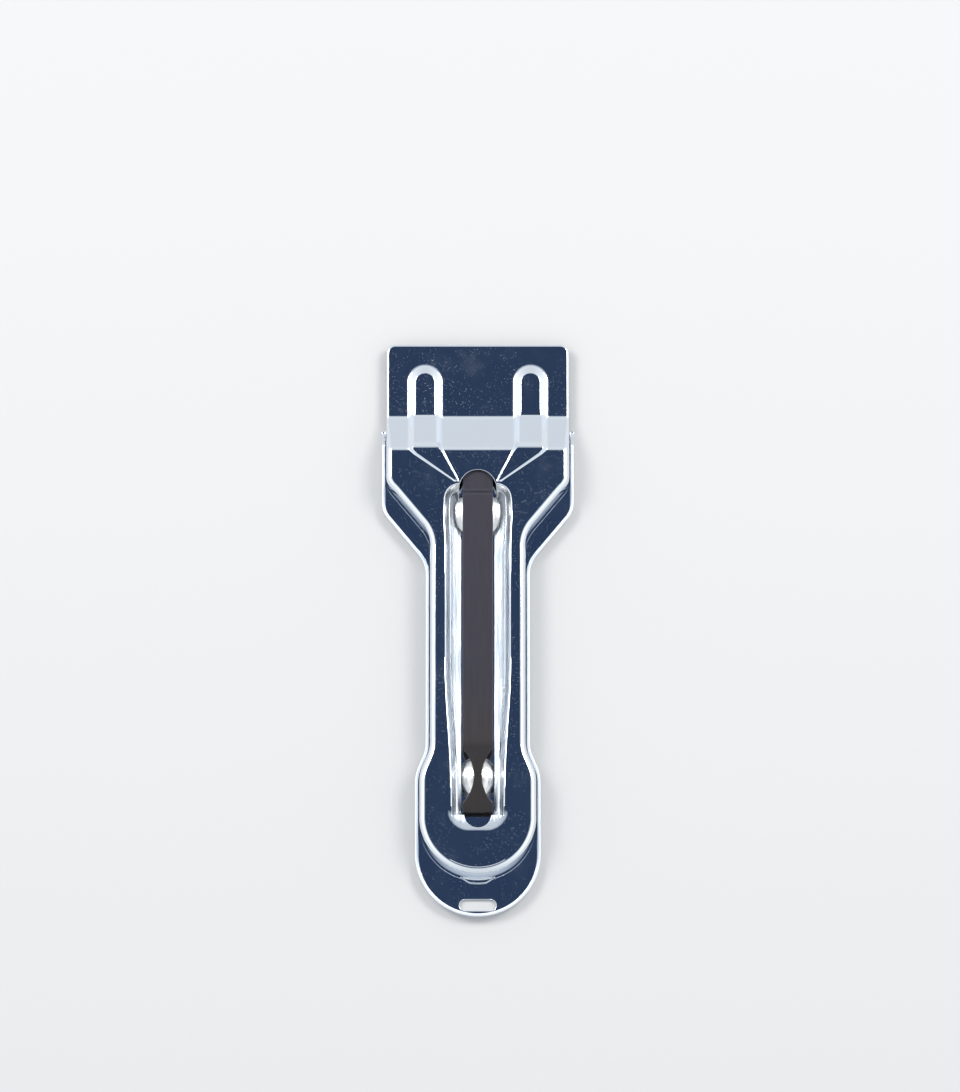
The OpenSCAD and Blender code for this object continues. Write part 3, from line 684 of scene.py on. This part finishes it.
def make_cover():
    """Pressed cover: its plate, the bend all round it and the flange, which leans in at the tail."""
    skin = Skin()
    ring = whole_ring(half_outline(FRONT_Y, 0, COVER_TAIL_Y, cover_gap))
    xy, out = ring[:, :2], ring[:, 2:]
    top = step_height(ring[:, 1], 0 * ring[:, 1])
    share = np.clip((top - HEAD_H) / (HANDLE_H - HEAD_H), 0, 1)
    r = HEAD_BEND_R + (BEND_R - HEAD_BEND_R) * share
    r_in = np.maximum(r - SHEET, 0.05)
    foot = FLANGE_Z + (FRONT_LIP_Z - FLANGE_Z) * smooth((ring[:, 1] - FRONT_Y + FRONT_CORNER_R) / 0.8)
    lean = TAIL_LEAN * np.maximum(-out[:, 1], 0)
    shift = (top - r * (1 - np.sin(lean)) - foot) * np.tan(lean) - r * (1 - np.cos(lean))
    rim_inset = shift + np.maximum(r, SHEET + 0.1)
    rim = np.hstack([xy - out * rim_inset[:, None], -out])
    up_ids, low_ids = pressed_plate(skin, rim, [slot_loop()], cover_points(), cover_height, SHEET, 0.055)

    def ring_at(inset, z):
        return skin.add(np.hstack([xy - out * inset[:, None], z[:, None]]))

    outside, inside = [up_ids], [low_ids]
    for turn in np.linspace(1, 0, 10):
        a = lean + (math.pi / 2 - lean) * turn
        aside, down = 1 - np.cos(a), 1 - np.sin(a)
        outside.append(ring_at(shift + r * aside, top - r * down))
        inside.append(ring_at(shift + SHEET + r_in * aside, top - SHEET - r_in * down))
    low_out, low_in = foot + FLANGE_EDGE_R, foot + EDGE_R
    z_out, z_in = top - r * (1 - np.sin(lean)), top - SHEET - r_in * (1 - np.sin(lean))
    for t in (0.5, 1.0):
        z = z_out + t * (low_out - z_out)
        outside.append(ring_at((z - low_out) * np.tan(lean), z))
        z = z_in + t * (low_in - z_in)
        inside.append(ring_at(SHEET + (z - low_in) * np.tan(lean), z))
    for a in np.radians([30, 60, 90]):
        aside, up = 1 - math.cos(a), 1 - math.sin(a)
        outside.append(ring_at(FLANGE_EDGE_R * aside + 0 * r, foot + FLANGE_EDGE_R * up))
    for a in np.radians([30, 60]):
        aside, up = 1 - math.cos(a), 1 - math.sin(a)
        inside.append(ring_at(SHEET - EDGE_R * aside + 0 * r, foot + EDGE_R * up))
    skin.strips(outside)
    skin.strips([outside[-1]] + inside[::-1])
    return skin.to_object("cover_shell")


def make_tail_lip():
    """Level lip bent out at the foot of the tail's flange. It points at the window in the tray."""
    skin = Skin()
    rings = []
    z = FLANGE_Z
    for x in spaced(-TAIL_LIP_HALF, TAIL_LIP_HALF, 0.3):
        y = COVER_TAIL_Y + HALF_TAIL - math.sqrt(HALF_TAIL**2 - x**2)
        back = y + SHEET + 0.1
        front = y - TAIL_LIP_OUT * float(smooth((TAIL_LIP_HALF - abs(x)) / TAIL_LIP_EASE)) + 0.04
        section = [(back, z + 2 * SHEET), (y + 0.36, z + 2 * SHEET), (y + 0.2, z + SHEET),
                   (front, z + SHEET), (front, z + 0.02), (y + 0.6, z + 0.02), (back, z + 0.6)]
        loop = np.array(rounded_profile([section[-1]] + section + [section[0]], 0.25)[1:-1])
        rings.append(skin.add(np.hstack([np.full((len(loop), 1), x), loop])))
    skin.strips(rings)
    for ring in (rings[0][::-1], rings[-1]):
        skin.fan(np.mean([skin.verts[k] for k in ring], 0), ring)
    return skin.to_object("tail_lip")


# Tray
def tray_gap(y):
    """Spacing of outline points on the tray: close where the rim rises."""
    return 0.2 if RIM_START_Y - RIM_RISE - 0.4 < y < RIM_START_Y + 0.4 else 0.9


def seat_gap(y):
    """Spacing of outline points on the blade seat: close where it is joggled up."""
    return 0.3 if abs(y - SEAT_STEP_Y) < 1 else 0.9


def tray_height(x, y):
    """Upper face of the tray: its plate, and the blade seat joggled up in front."""
    return SHEET + (SEAT_Z - SHEET) * smooth(y - SEAT_STEP_Y + 0.4)


def tray_half():
    """Right half of the tray's outline. A fifth column is 1 on the seat, which has no rim."""
    end = (SEAT_HALF, RIM_START_Y)
    corner = arc_at_corner((0, SEAT_FRONT_Y), (SEAT_HALF, SEAT_FRONT_Y), end, SEAT_CORNER_R, 9)
    shelf = HALF_HEAD + SIDE_GAP + SHEET - RIM_BEND_R
    side = [[SEAT_HALF, RIM_START_Y + 0.5, 1.0, 0], [*end, 0.7, 0.7], [shelf - 0.1, RIM_START_Y, 0, 1.0]]
    seat = np.vstack([[[0, SEAT_FRONT_Y, 0, 1.0]], corner, side])
    seat = fill_straights(seat, seat_gap)
    sides = half_outline(FRONT_Y, TRAVEL, TRAY_TAIL_Y + SIDE_GAP + SHEET, tray_gap)
    sides[:, :2] += sides[:, 2:] * (SIDE_GAP + SHEET)
    sides = sides[sides[:, 1] < RIM_START_Y - 0.05]
    first = sides[:1].copy()
    first[:, 1] = RIM_START_Y
    sides = np.vstack([first, sides])
    marks = ((seat, 1.0), (sides, 0.0))
    return np.vstack([np.pad(part, ((0, 0), (0, 1)), constant_values=mark) for part, mark in marks])


def tray_sections(ring):
    """Inset and height of the rings of the tray's edge, from its upper face over the rim to below."""
    seat = ring[:, 4] > 0.5
    plate = tray_height(ring[:, 0], ring[:, 1])
    rise = smooth((RIM_START_Y - ring[:, 1]) / RIM_RISE)
    top = SHEET + (RIM_Z - SHEET) * np.maximum(rise, 0.02)
    r_out = RIM_BEND_R * np.maximum(rise, 0.07)
    wall = top - SHEET
    r_in, r_top = np.minimum(0.1, wall * 0.4), np.minimum(EDGE_R, wall * 0.4)
    sections = [(RIM_BEND_R + 0 * top, SHEET + 0 * top, EDGE_R + 0 * top, plate)]

    def add(inset, z, seat_turn, upper):
        """A ring, and the place on the seat's rounded cut edge that goes with it."""
        a = math.radians(seat_turn)
        fall = EDGE_R * (1 - math.cos(a))
        edge_z = plate - fall if upper else plate - SHEET + fall
        sections.append((inset, z, EDGE_R * (1 - math.sin(a)) + 0 * top, edge_z))

    for a in np.radians([0, 45, 90]):
        add(SHEET + r_in * (1 - math.sin(a)), SHEET + r_in * (1 - math.cos(a)), 0, True)
    for a in np.radians([0, 45, 90]):
        add(SHEET - r_top * (1 - math.cos(a)), top - r_top * (1 - math.sin(a)), 0, True)
    for a in (90, 45, 0):
        t = math.radians(a)
        add(r_top * (1 - math.cos(t)), top - r_top * (1 - math.sin(t)), 90 - a, True)
    for a in np.arange(90, -1, -10):
        t = math.radians(a)
        add(r_out * (1 - math.sin(t)), r_out * (1 - math.cos(t)), a, False)
    sections.append((RIM_BEND_R + 0 * top, 0 * top, EDGE_R + 0 * top, plate - SHEET))
    return [(np.where(seat, si, ri), np.where(seat, sz, rz)) for ri, rz, si, sz in sections]


def make_tray():
    """Flat plate with an upturned rim, and the blade seat in front of it."""
    skin = Skin()
    ring = whole_ring(tray_half())
    xy, out = ring[:, :2], ring[:, 2:4]
    sections = tray_sections(ring)
    rim = np.hstack([xy - out * sections[0][0][:, None], -out])
    holes = [window_loop(), round_hole_loop(RIVET_Y, SHANK_R), round_hole_loop(GUIDE_Y, SHANK_R)]
    rows = [spaced(SEAT_FRONT_Y, SEAT_STEP_Y + 1, 1.3), spaced(SEAT_STEP_Y - 1, TRAY_TAIL_Y, 1.3),
            spaced(SEAT_STEP_Y + 0.9, SEAT_STEP_Y - 0.7, 0.12)]
    points = grid(spaced(-TRAY_GRID_HALF, TRAY_GRID_HALF, 1.3), np.concatenate(rows))
    up_ids, low_ids = pressed_plate(skin, rim, holes, points, tray_height, SHEET, 0.1)
    rings = [skin.add(np.hstack([xy - out * inset[:, None], z[:, None]])) for inset, z in sections[1:-1]]
    skin.strips([up_ids] + rings + [low_ids])
    return skin.to_object("tray_shell")


def lathe(name, profile, centre_y, count=96, centre_x=0):
    """Solid of revolution. Its profile of r and z runs from the top of its axis to the foot."""
    skin = Skin()
    a = np.arange(count) * 2 * math.pi / count
    c, s = np.cos(a), np.sin(a)
    rings = []
    for r, z in profile[1:-1]:
        rings.append(skin.add(np.stack([centre_x + r * c, centre_y + r * s, 0 * a + z], 1)))
    skin.fan((centre_x, centre_y, profile[0][1]), rings[0])
    skin.strips([ring[::-1] for ring in rings])
    skin.fan((centre_x, centre_y, profile[-1][1]), rings[-1][::-1])
    return skin.to_object(name)


def make_seat_pegs():
    """The two low pegs on the seat that stand in the notches of the blade."""
    top, base = SEAT_Z + PEG_H, SEAT_Z - 0.1
    profile = [(0.0, top), (PEG_R - PEG_BEVEL, top), (PEG_R, top - PEG_BEVEL), (PEG_R, base), (0.0, base)]
    places = (("left", -PEG_X), ("right", PEG_X))
    return [lathe("seat_peg_" + name, profile, PEG_Y, 40, x) for name, x in places]


# Leaf spring
def leaf_height(x, y):
    """Upper face of the leaf: tucked front end, joggle, level middle and sloping rear part."""
    fall_y = LEAF_REAR_Y + LEAF_REAR_LEN * math.cos(LEAF_SLOPE)
    front = LEAF_JOGGLE * smooth((y - LEAF_BEND_Y + LEAF_BEND_LEN) / LEAF_BEND_LEN)
    rear = math.tan(LEAF_SLOPE) * softened(fall_y - y, 0.6)
    crown = LEAF_CROWN * (x / LEAF_HALF) ** 2
    return LEAF_TOP - front - rear - crown


def leaf_loop():
    """Outline of the leaf with its two round side notches, clockwise, with outward directions."""
    r, turns = LEAF_CORNER_R, np.radians([0, 30, 60, 90])
    half_open = math.sqrt(LEAF_NOTCH_R**2 - (LEAF_NOTCH_R - (LEAF_HALF - LEAF_WAIST)) ** 2)
    a_end = math.asin(half_open / LEAF_NOTCH_R)
    notch = [(LEAF_WAIST + LEAF_NOTCH_R * (1 - math.cos(a)), GUIDE_Y + LEAF_NOTCH_R * math.sin(a))
             for a in np.linspace(a_end, -a_end, 25)]
    corner = [(LEAF_HALF - r + r * math.sin(a), LEAF_FRONT_Y - r + r * math.cos(a)) for a in turns]
    rear = [(LEAF_HALF - r + r * math.cos(a), LEAF_REAR_Y + r - r * math.sin(a)) for a in turns]
    front_side = [(LEAF_HALF, y) for y in spaced(LEAF_FRONT_Y - r, notch[0][1], 0.4)[1:-1]]
    rear_side = [(LEAF_HALF, y) for y in spaced(notch[-1][1], LEAF_REAR_Y + r, 0.4)[1:-1]]
    right = corner + front_side + notch + rear_side + rear
    return with_inward(np.array(right + [(-x, y) for x, y in reversed(right)]))


def make_leaf():
    """The spring strip, with rounded edges."""
    skin = Skin()
    loop = leaf_loop()
    rim = grown(loop, -EDGE_R)
    rows = steps(LEAF_FRONT_Y, (LEAF_BEND_Y + 0.3, 0.5), (LEAF_BEND_Y - 2, 0.1), (LEAF_REAR_Y, 0.5))
    reach = LEAF_HALF - LEAF_CORNER_R
    points = grid(spaced(-reach, reach, 0.34), rows)
    up_ids, low_ids = pressed_plate(skin, rim, [], points, leaf_height, LEAF_T, 0.08)
    cut_edge(skin, up_ids, low_ids, -loop[:, 2:], EDGE_R)
    return skin.to_object("leaf_strip")


# Rivet and guide
def ball_radius(radius, crown):
    """Radius of the ball that a shallow dome is cut from."""
    return (radius**2 + crown**2) / (2 * crown)


def make_rivet():
    """Rivet with a wide domed head, a neck that stands on the tray and a set end."""
    top = rivet_high[2]
    rim_z = top - RIVET_CROWN
    ball = ball_radius(RIVET_HEAD_R, RIVET_CROWN)
    dome = [(s, top - ball + math.sqrt(ball**2 - s * s)) for s in np.linspace(0, RIVET_HEAD_R - 0.12, 24)]
    foot = [(RIVET_HEAD_R, rim_z - 0.02), (RIVET_HEAD_R, rim_z - 0.1), (RIVET_NECK_R, rim_z - 1.2),
            (RIVET_NECK_R, SHEET), (SHANK_R, SHEET - 0.01)] + SET_END
    return lathe("front_rivet_head", dome + rounded_profile([dome[-1]] + foot, 0.12)[1:], RIVET_Y)


def make_guide():
    """Domed stud with flattened sides, and its shank, which is set in the tray."""
    ball = ball_radius(GUIDE_R, GUIDE_CROWN)

    def height(x, y):
        return guide_high[2] - ball + np.sqrt(np.maximum(ball**2 - x**2 - (y - GUIDE_Y) ** 2, 0.01))

    a = np.radians(np.arange(360, 0, -2.5))
    x, y = np.clip(GUIDE_R * np.cos(a), -GUIDE_HALF, GUIDE_HALF), GUIDE_Y + GUIDE_R * np.sin(a)
    loop = np.stack([x, y], 1)
    gap = np.linalg.norm(loop - np.roll(loop, 1, 0), axis=1)
    loop = with_inward(loop[gap > 0.02])
    rim = grown(loop, -GUIDE_EDGE_R)
    skin = Skin()
    reach_x, reach_y = GUIDE_HALF + 0.1, GUIDE_R + 0.1
    points = grid(spaced(-reach_x, reach_x, 0.3), spaced(GUIDE_Y - reach_y, GUIDE_Y + reach_y, 0.3))
    flat, triangles = plate_triangles(rim, [], points, 0.1)
    x, y = flat[:, 0], flat[:, 1]
    up = skin.add(np.stack([x, y, height(x, y)], 1), height_normals(height, x, y))
    skin.faces += [tuple(f) for f in up[triangles]]
    rings = [up[: len(rim)]]
    z = np.array([skin.verts[k][2] for k in rings[0]])
    for t in np.radians([30, 60, 90]):
        xy = rim[:, :2] - loop[:, 2:] * GUIDE_EDGE_R * math.sin(t)
        rings.append(skin.add(np.hstack([xy, (z - GUIDE_EDGE_R * (1 - math.cos(t)))[:, None]])))
    rings.append(skin.add(np.hstack([loop[:, :2], 0 * z[:, None] + SHEET])))
    skin.strips(rings)
    skin.fan((0, GUIDE_Y, SHEET), rings[-1])
    dome = skin.to_object("rear_guide_dome")
    shank = lathe("rear_guide_shank", [(0.0, SHEET), (SHANK_R, SHEET)] + SET_END, GUIDE_Y, 64)
    return dome, shank


def dress(piece, body, node):
    """Puts a piece in the place of a CAD node, on its body."""
    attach(piece, body)
    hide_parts(node)
    return piece


cover = dress(make_cover(), "cover", "upper_cover")
tail_lip = dress(make_tail_lip(), "cover", "upper_cover")
tray = dress(make_tray(), "tray", "lower_tray")
pegs = [dress(peg, "tray", "lower_tray") for peg in make_seat_pegs()]
leaf = dress(make_leaf(), "leaf", "leaf_spring")
rivet = dress(make_rivet(), "tray", "front_rivet")
guide, guide_shank = make_guide()
dress(guide, "tray", "rear_guide")
dress(guide_shank, "tray", "rear_guide")


# Materials. Scales of noise and specks are counts per metre.
class Shading:
    """The nodes of a material or world, with short calls for those used here."""

    def __init__(self, owner):
        owner.use_nodes = True
        self.nodes, self.links = owner.node_tree.nodes, owner.node_tree.links

    def feed(self, socket, value):
        """Links a socket to another socket, or sets it to a number or colour."""
        if isinstance(value, bpy.types.NodeSocket):
            self.links.new(value, socket)
        else:
            socket.default_value = value

    def fed(self, kind, inputs):
        """A new node with values or sockets at its inputs."""
        node = self.nodes.new("ShaderNode" + kind)
        for name, value in inputs.items():
            self.feed(node.inputs[name], value)
        return node

    def axes(self, where):
        """X, Y and Z of coordinates."""
        split = self.fed("SeparateXYZ", {"Vector": where}).outputs
        return split["X"], split["Y"], split["Z"]

    def stretched(self, where, scale):
        """Coordinates scaled along the scraper, so that a noise becomes lines."""
        return self.fed("Mapping", {"Vector": where, "Scale": (1, scale, 1)}).outputs["Vector"]

    def maths(self, operation, a, b=0.0):
        """Result of a sum on sockets or numbers."""
        node = self.fed("Math", {0: a, 1: b})
        node.operation = operation
        return node.outputs[0]

    def times(self, a, b):
        """Product of sockets or numbers."""
        return self.maths("MULTIPLY", a, b)

    def mixed(self, kind, share, a, b):
        """Mix of two numbers (FLOAT) or colours (RGBA) by a share of the second."""
        node = self.nodes.new("ShaderNodeMix")
        node.data_type = kind
        for name, value in (("Factor", share), ("A", a), ("B", b)):
            self.feed(node.inputs[name], value)
        return node.outputs["Result"]

    def ramp(self, source, low, high, out_low=0.0, out_high=1.0):
        """Eases from out_low to out_high while the source goes from low to high."""
        ends = {"From Min": low, "From Max": high, "To Min": out_low, "To Max": out_high}
        node = self.fed("MapRange", {"Value": source, **ends})
        node.interpolation_type = "SMOOTHSTEP"
        return node.outputs["Result"]

    def noise(self, where, scale, detail=3.0, roughness=0.5):
        """Soft noise from 0 to 1."""
        inputs = {"Vector": where, "Scale": scale, "Detail": detail, "Roughness": roughness}
        return self.fed("TexNoise", inputs).outputs["Fac"]

    def specks(self, where, scale, kept, radius):
        """Round specks in a share of the cells of a grain. The radius is a share of the cell."""
        cells = self.fed("TexVoronoi", {"Vector": where, "Scale": scale}).outputs
        pick = self.fed("SeparateColor", {"Color": cells["Color"]}).outputs["Red"]
        chosen = self.ramp(pick, 1 - kept, 1.02 - kept)
        return self.times(self.ramp(cells["Distance"], radius * 0.5, radius, 1, 0), chosen)

    def bump(self, height, strength, distance):
        """Normal of a fine relief."""
        inputs = {"Height": height, "Strength": strength, "Distance": distance}
        return self.fed("Bump", inputs).outputs["Normal"]


def new_metal(name):
    """A metallic material, its nodes, its surface and the coordinates of its object."""
    material = bpy.data.materials.new(name)
    tree = Shading(material)
    surface = tree.nodes["Principled BSDF"].inputs
    surface["Metallic"].default_value = 1
    return material, tree, surface, tree.nodes.new("ShaderNodeTexCoord").outputs["Object"]


def in_channel(tree, where):
    """1 on the drawn walls and lips of the cover's channel, 0 elsewhere."""
    x, y, z = tree.axes(where)
    below = tree.ramp(z, (HANDLE_H - 0.6) * MM, (HANDLE_H - 0.05) * MM, 1, 0)
    aside = tree.maths("ABSOLUTE", x)
    beside = tree.ramp(aside, (CHANNEL_HALF + 0.5) * MM, (CHANNEL_HALF + 0.7) * MM, 1, 0)
    behind = tree.ramp(y, (CHANNEL_FRONT_Y + 0.5) * MM, (CHANNEL_FRONT_Y + 1) * MM, 1, 0)
    ahead = tree.ramp(y, (CHANNEL_REAR_Y - 0.5) * MM, CHANNEL_REAR_Y * MM)
    return tree.times(tree.times(below, beside), tree.times(behind, ahead))


def on_rim(tree, where):
    """1 on the cut top of the tray's rim, 0 elsewhere."""
    return tree.ramp(tree.axes(where)[2], (RIM_Z - 0.1) * MM, (RIM_Z - 0.02) * MM)


FINE_SPECKS = (2600, 0.7, 0.16)
LARGE_SPECKS = (1200, 0.22, 0.1)
DUST_COLOUR = (0.93, 0.93, 0.94, 1)
DUST_ROUGHNESS = 0.7
MIRROR_ROUGHNESS = (0.05, 0.14)


def plated(name, colour, dust, worn_where, line_scale, worn_roughness):
    """Bright plated sheet: a mirror with dust specks, smudges, slow waves and a rougher worn part."""
    material, tree, surface, where = new_metal(name)
    both = tree.maths("MAXIMUM", tree.specks(where, *FINE_SPECKS), tree.specks(where, *LARGE_SPECKS))
    patches = tree.ramp(tree.noise(where, 110), 0.36, 0.64, 0.35, 1)
    amount = tree.times(tree.times(both, patches), dust)
    tree.feed(surface["Base Color"], tree.mixed("RGBA", amount, (*colour, 1), DUST_COLOUR))
    haze = tree.ramp(tree.noise(where, 150, 5, 0.62), 0.42, 0.72, *MIRROR_ROUGHNESS)
    dusty = tree.mixed("FLOAT", amount, haze, DUST_ROUGHNESS)
    streaks = tree.noise(tree.stretched(where, line_scale), 1500, 3, 0.6)
    worn = tree.ramp(streaks, 0.35, 0.65, *worn_roughness)
    tree.feed(surface["Roughness"], tree.mixed("FLOAT", worn_where(tree, where), dusty, worn))
    tree.feed(surface["Normal"], tree.bump(tree.noise(where, 1500, 3, 0.6), 0.06, 0.08 * MM))
    return material


def dark_spring():
    """Blued strip with fine drawing lines along it. Its browner tint towards its rear end is a painted
    reflection of its sloping rear part.
    """
    material, tree, surface, where = new_metal("blued_spring_steel")
    # Painted reflection: towards the rear, where the strip slopes down, its colour is tinted browner,
    # standing in for how that slope mirrors the room
    ahead = tree.ramp(tree.axes(where)[1], -0.036, -0.010)
    rear_reflection_brown, violet = (0.088, 0.078, 0.074, 1), (0.082, 0.077, 0.092, 1)
    tree.feed(surface["Base Color"], tree.mixed("RGBA", ahead, rear_reflection_brown, violet))
    lines = tree.noise(tree.stretched(where, 0.04), 2600, 3, 0.6)
    tree.feed(surface["Roughness"], tree.ramp(lines, 0.3, 0.7, 0.38, 0.41))
    tree.feed(surface["Normal"], tree.bump(lines, 0.04, 0.03 * MM))
    return material


def plain_metal(name, colour, low, high):
    """Metal of one colour, with a roughness that wanders from low to high."""
    material, tree, surface, where = new_metal(name)
    surface["Base Color"].default_value = (*colour, 1)
    tree.feed(surface["Roughness"], tree.ramp(tree.noise(where, 700), 0.3, 0.7, low, high))
    return material


def paint(pieces, material):
    """Gives pieces one material."""
    for piece in pieces:
        piece.data.materials.clear()
        piece.data.materials.append(material)


paint([cover, tail_lip], plated("plated_cover", (0.80, 0.84, 0.89), 0.7, in_channel, 0.05, (0.2, 0.42)))
paint([tray] + pegs, plated("plated_tray", (0.78, 0.82, 0.88), 0.6, on_rim, 1, (0.5, 0.58)))
paint([leaf], dark_spring())
paint([rivet, guide, guide_shank], plain_metal("nickel", (0.90, 0.87, 0.82), 0.2, 0.3))
paint([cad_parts["blade"]], plain_metal("blade_steel", (0.6, 0.61, 0.63), 0.2, 0.3))
paint([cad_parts["blade_back"]], plain_metal("folded_steel", (0.5, 0.51, 0.53), 0.3, 0.42))


# Floor, light and camera. The floor's measures and the camera's distance are metres.
FLOOR_REACH = 2.0
FLOOR_CELLS = 8
FLOOR_Z = -0.0001
FLOOR_COLOUR = (0.585, 0.575, 0.565, 1)
# Colour of the surroundings by the upward part of a direction, from the horizon to the ceiling
WORLD_STOPS = (
    (0.0, (0.80, 0.82, 0.85)), (0.30, (0.75, 0.79, 0.83)), (0.55, (0.82, 0.86, 0.89)),
    (0.86, (0.78, 0.83, 0.88)), (0.93, (0.40, 0.45, 0.53)), (0.965, (0.030, 0.052, 0.105)),
)
SIDE_GAIN = 0.6
# The photograph's frame, and where the middle of the scraper lies in it
FRAME_PX = (960, 1092)
MIDDLE_PX = (477.8, 628.6)
MM_PER_PX = 0.2455
AIM_Z = 4
CAMERA_TILT = math.radians(9)
CAMERA_DISTANCE = 2.5
SENSOR_H = 24


def make_floor():
    """A wide pale floor just below the scraper."""
    mesh = bpy.data.meshes.new("floor")
    n, places = FLOOR_CELLS, np.linspace(-FLOOR_REACH, FLOOR_REACH, FLOOR_CELLS + 1)
    corners = [j * (n + 1) + k for j in range(n) for k in range(n)]
    faces = [(c, c + 1, c + n + 2, c + n + 1) for c in corners]
    mesh.from_pydata([(x, y, FLOOR_Z) for y in places for x in places], [], faces)
    material = bpy.data.materials.new("pale_floor")
    surface = Shading(material).nodes["Principled BSDF"].inputs
    surface["Base Color"].default_value = FLOOR_COLOUR
    surface["Roughness"].default_value = 0.9
    mesh.materials.append(material)
    obj = new_object("floor", mesh)


def make_world():
    """Bright walls, brighter at both sides, and a navy ceiling, which the flat metal mirrors."""
    world = bpy.data.worlds.new("studio")
    tree = Shading(world)
    background = tree.nodes["Background"].inputs
    x, _, z = tree.axes(tree.nodes.new("ShaderNodeTexCoord").outputs["Generated"])
    colours = tree.nodes.new("ShaderNodeValToRGB")
    stops = colours.color_ramp.elements
    stops.remove(stops[1])
    for k, (height, colour) in enumerate(WORLD_STOPS):
        stop = stops.new(height) if k else stops[0]
        stop.color = (*colour, 1)
    tree.links.new(z, colours.inputs["Fac"])
    tree.links.new(colours.outputs["Color"], background["Color"])
    level = tree.maths("SUBTRACT", 1.0001, tree.times(z, z))
    sideways = tree.maths("DIVIDE", tree.times(x, x), level)
    band = tree.times(tree.ramp(z, 0.02, 0.15), tree.ramp(z, 0.75, 0.86, 1, 0))
    gain = tree.times(tree.times(sideways, band), SIDE_GAIN)
    tree.links.new(tree.maths("ADD", gain, 1.0), background["Strength"])
    bpy.context.scene.world = world


def add_area(name, place, size, power):
    """A round soft lamp that faces the scraper."""
    light = bpy.data.lights.new(name, "AREA")
    light.shape = "DISK"
    light.size = size
    light.energy = power
    obj = new_object(name, light)
    obj.location = place
    obj.rotation_euler = (-Vector(place)).to_track_quat("-Z", "Y").to_euler()


def make_camera():
    """Looks down at the photograph's angle, with the scraper where the photograph has it."""
    data = bpy.data.cameras.new("camera")
    data.sensor_fit = "VERTICAL"
    data.sensor_height = SENSOR_H
    data.lens = SENSOR_H * CAMERA_DISTANCE / (FRAME_PX[1] * MM_PER_PX * MM)
    data.clip_start = 0.01
    camera = new_object("camera", data)
    back = Vector((0, -math.sin(CAMERA_TILT), math.cos(CAMERA_TILT)))
    up = Vector((0, math.cos(CAMERA_TILT), math.sin(CAMERA_TILT)))
    right = Vector((1, 0, 0))
    target = Vector((0, 0, AIM_Z * MM))
    target += right * ((FRAME_PX[0] / 2 - MIDDLE_PX[0]) * MM_PER_PX * MM)
    target += up * ((MIDDLE_PX[1] - FRAME_PX[1] / 2) * MM_PER_PX * MM)
    camera.location = target + back * CAMERA_DISTANCE
    camera.rotation_euler = back.to_track_quat("Z", "Y").to_euler()
    bpy.context.scene.camera = camera


make_floor()
make_world()
add_area("key", (-0.5, 0.35, 0.75), 0.4, 4)
add_area("fill", (0.5, 0.35, 0.75), 0.4, 4)
make_camera()
bpy.context.scene.view_settings.view_transform = "Standard"

bpy.context.view_layer.update()
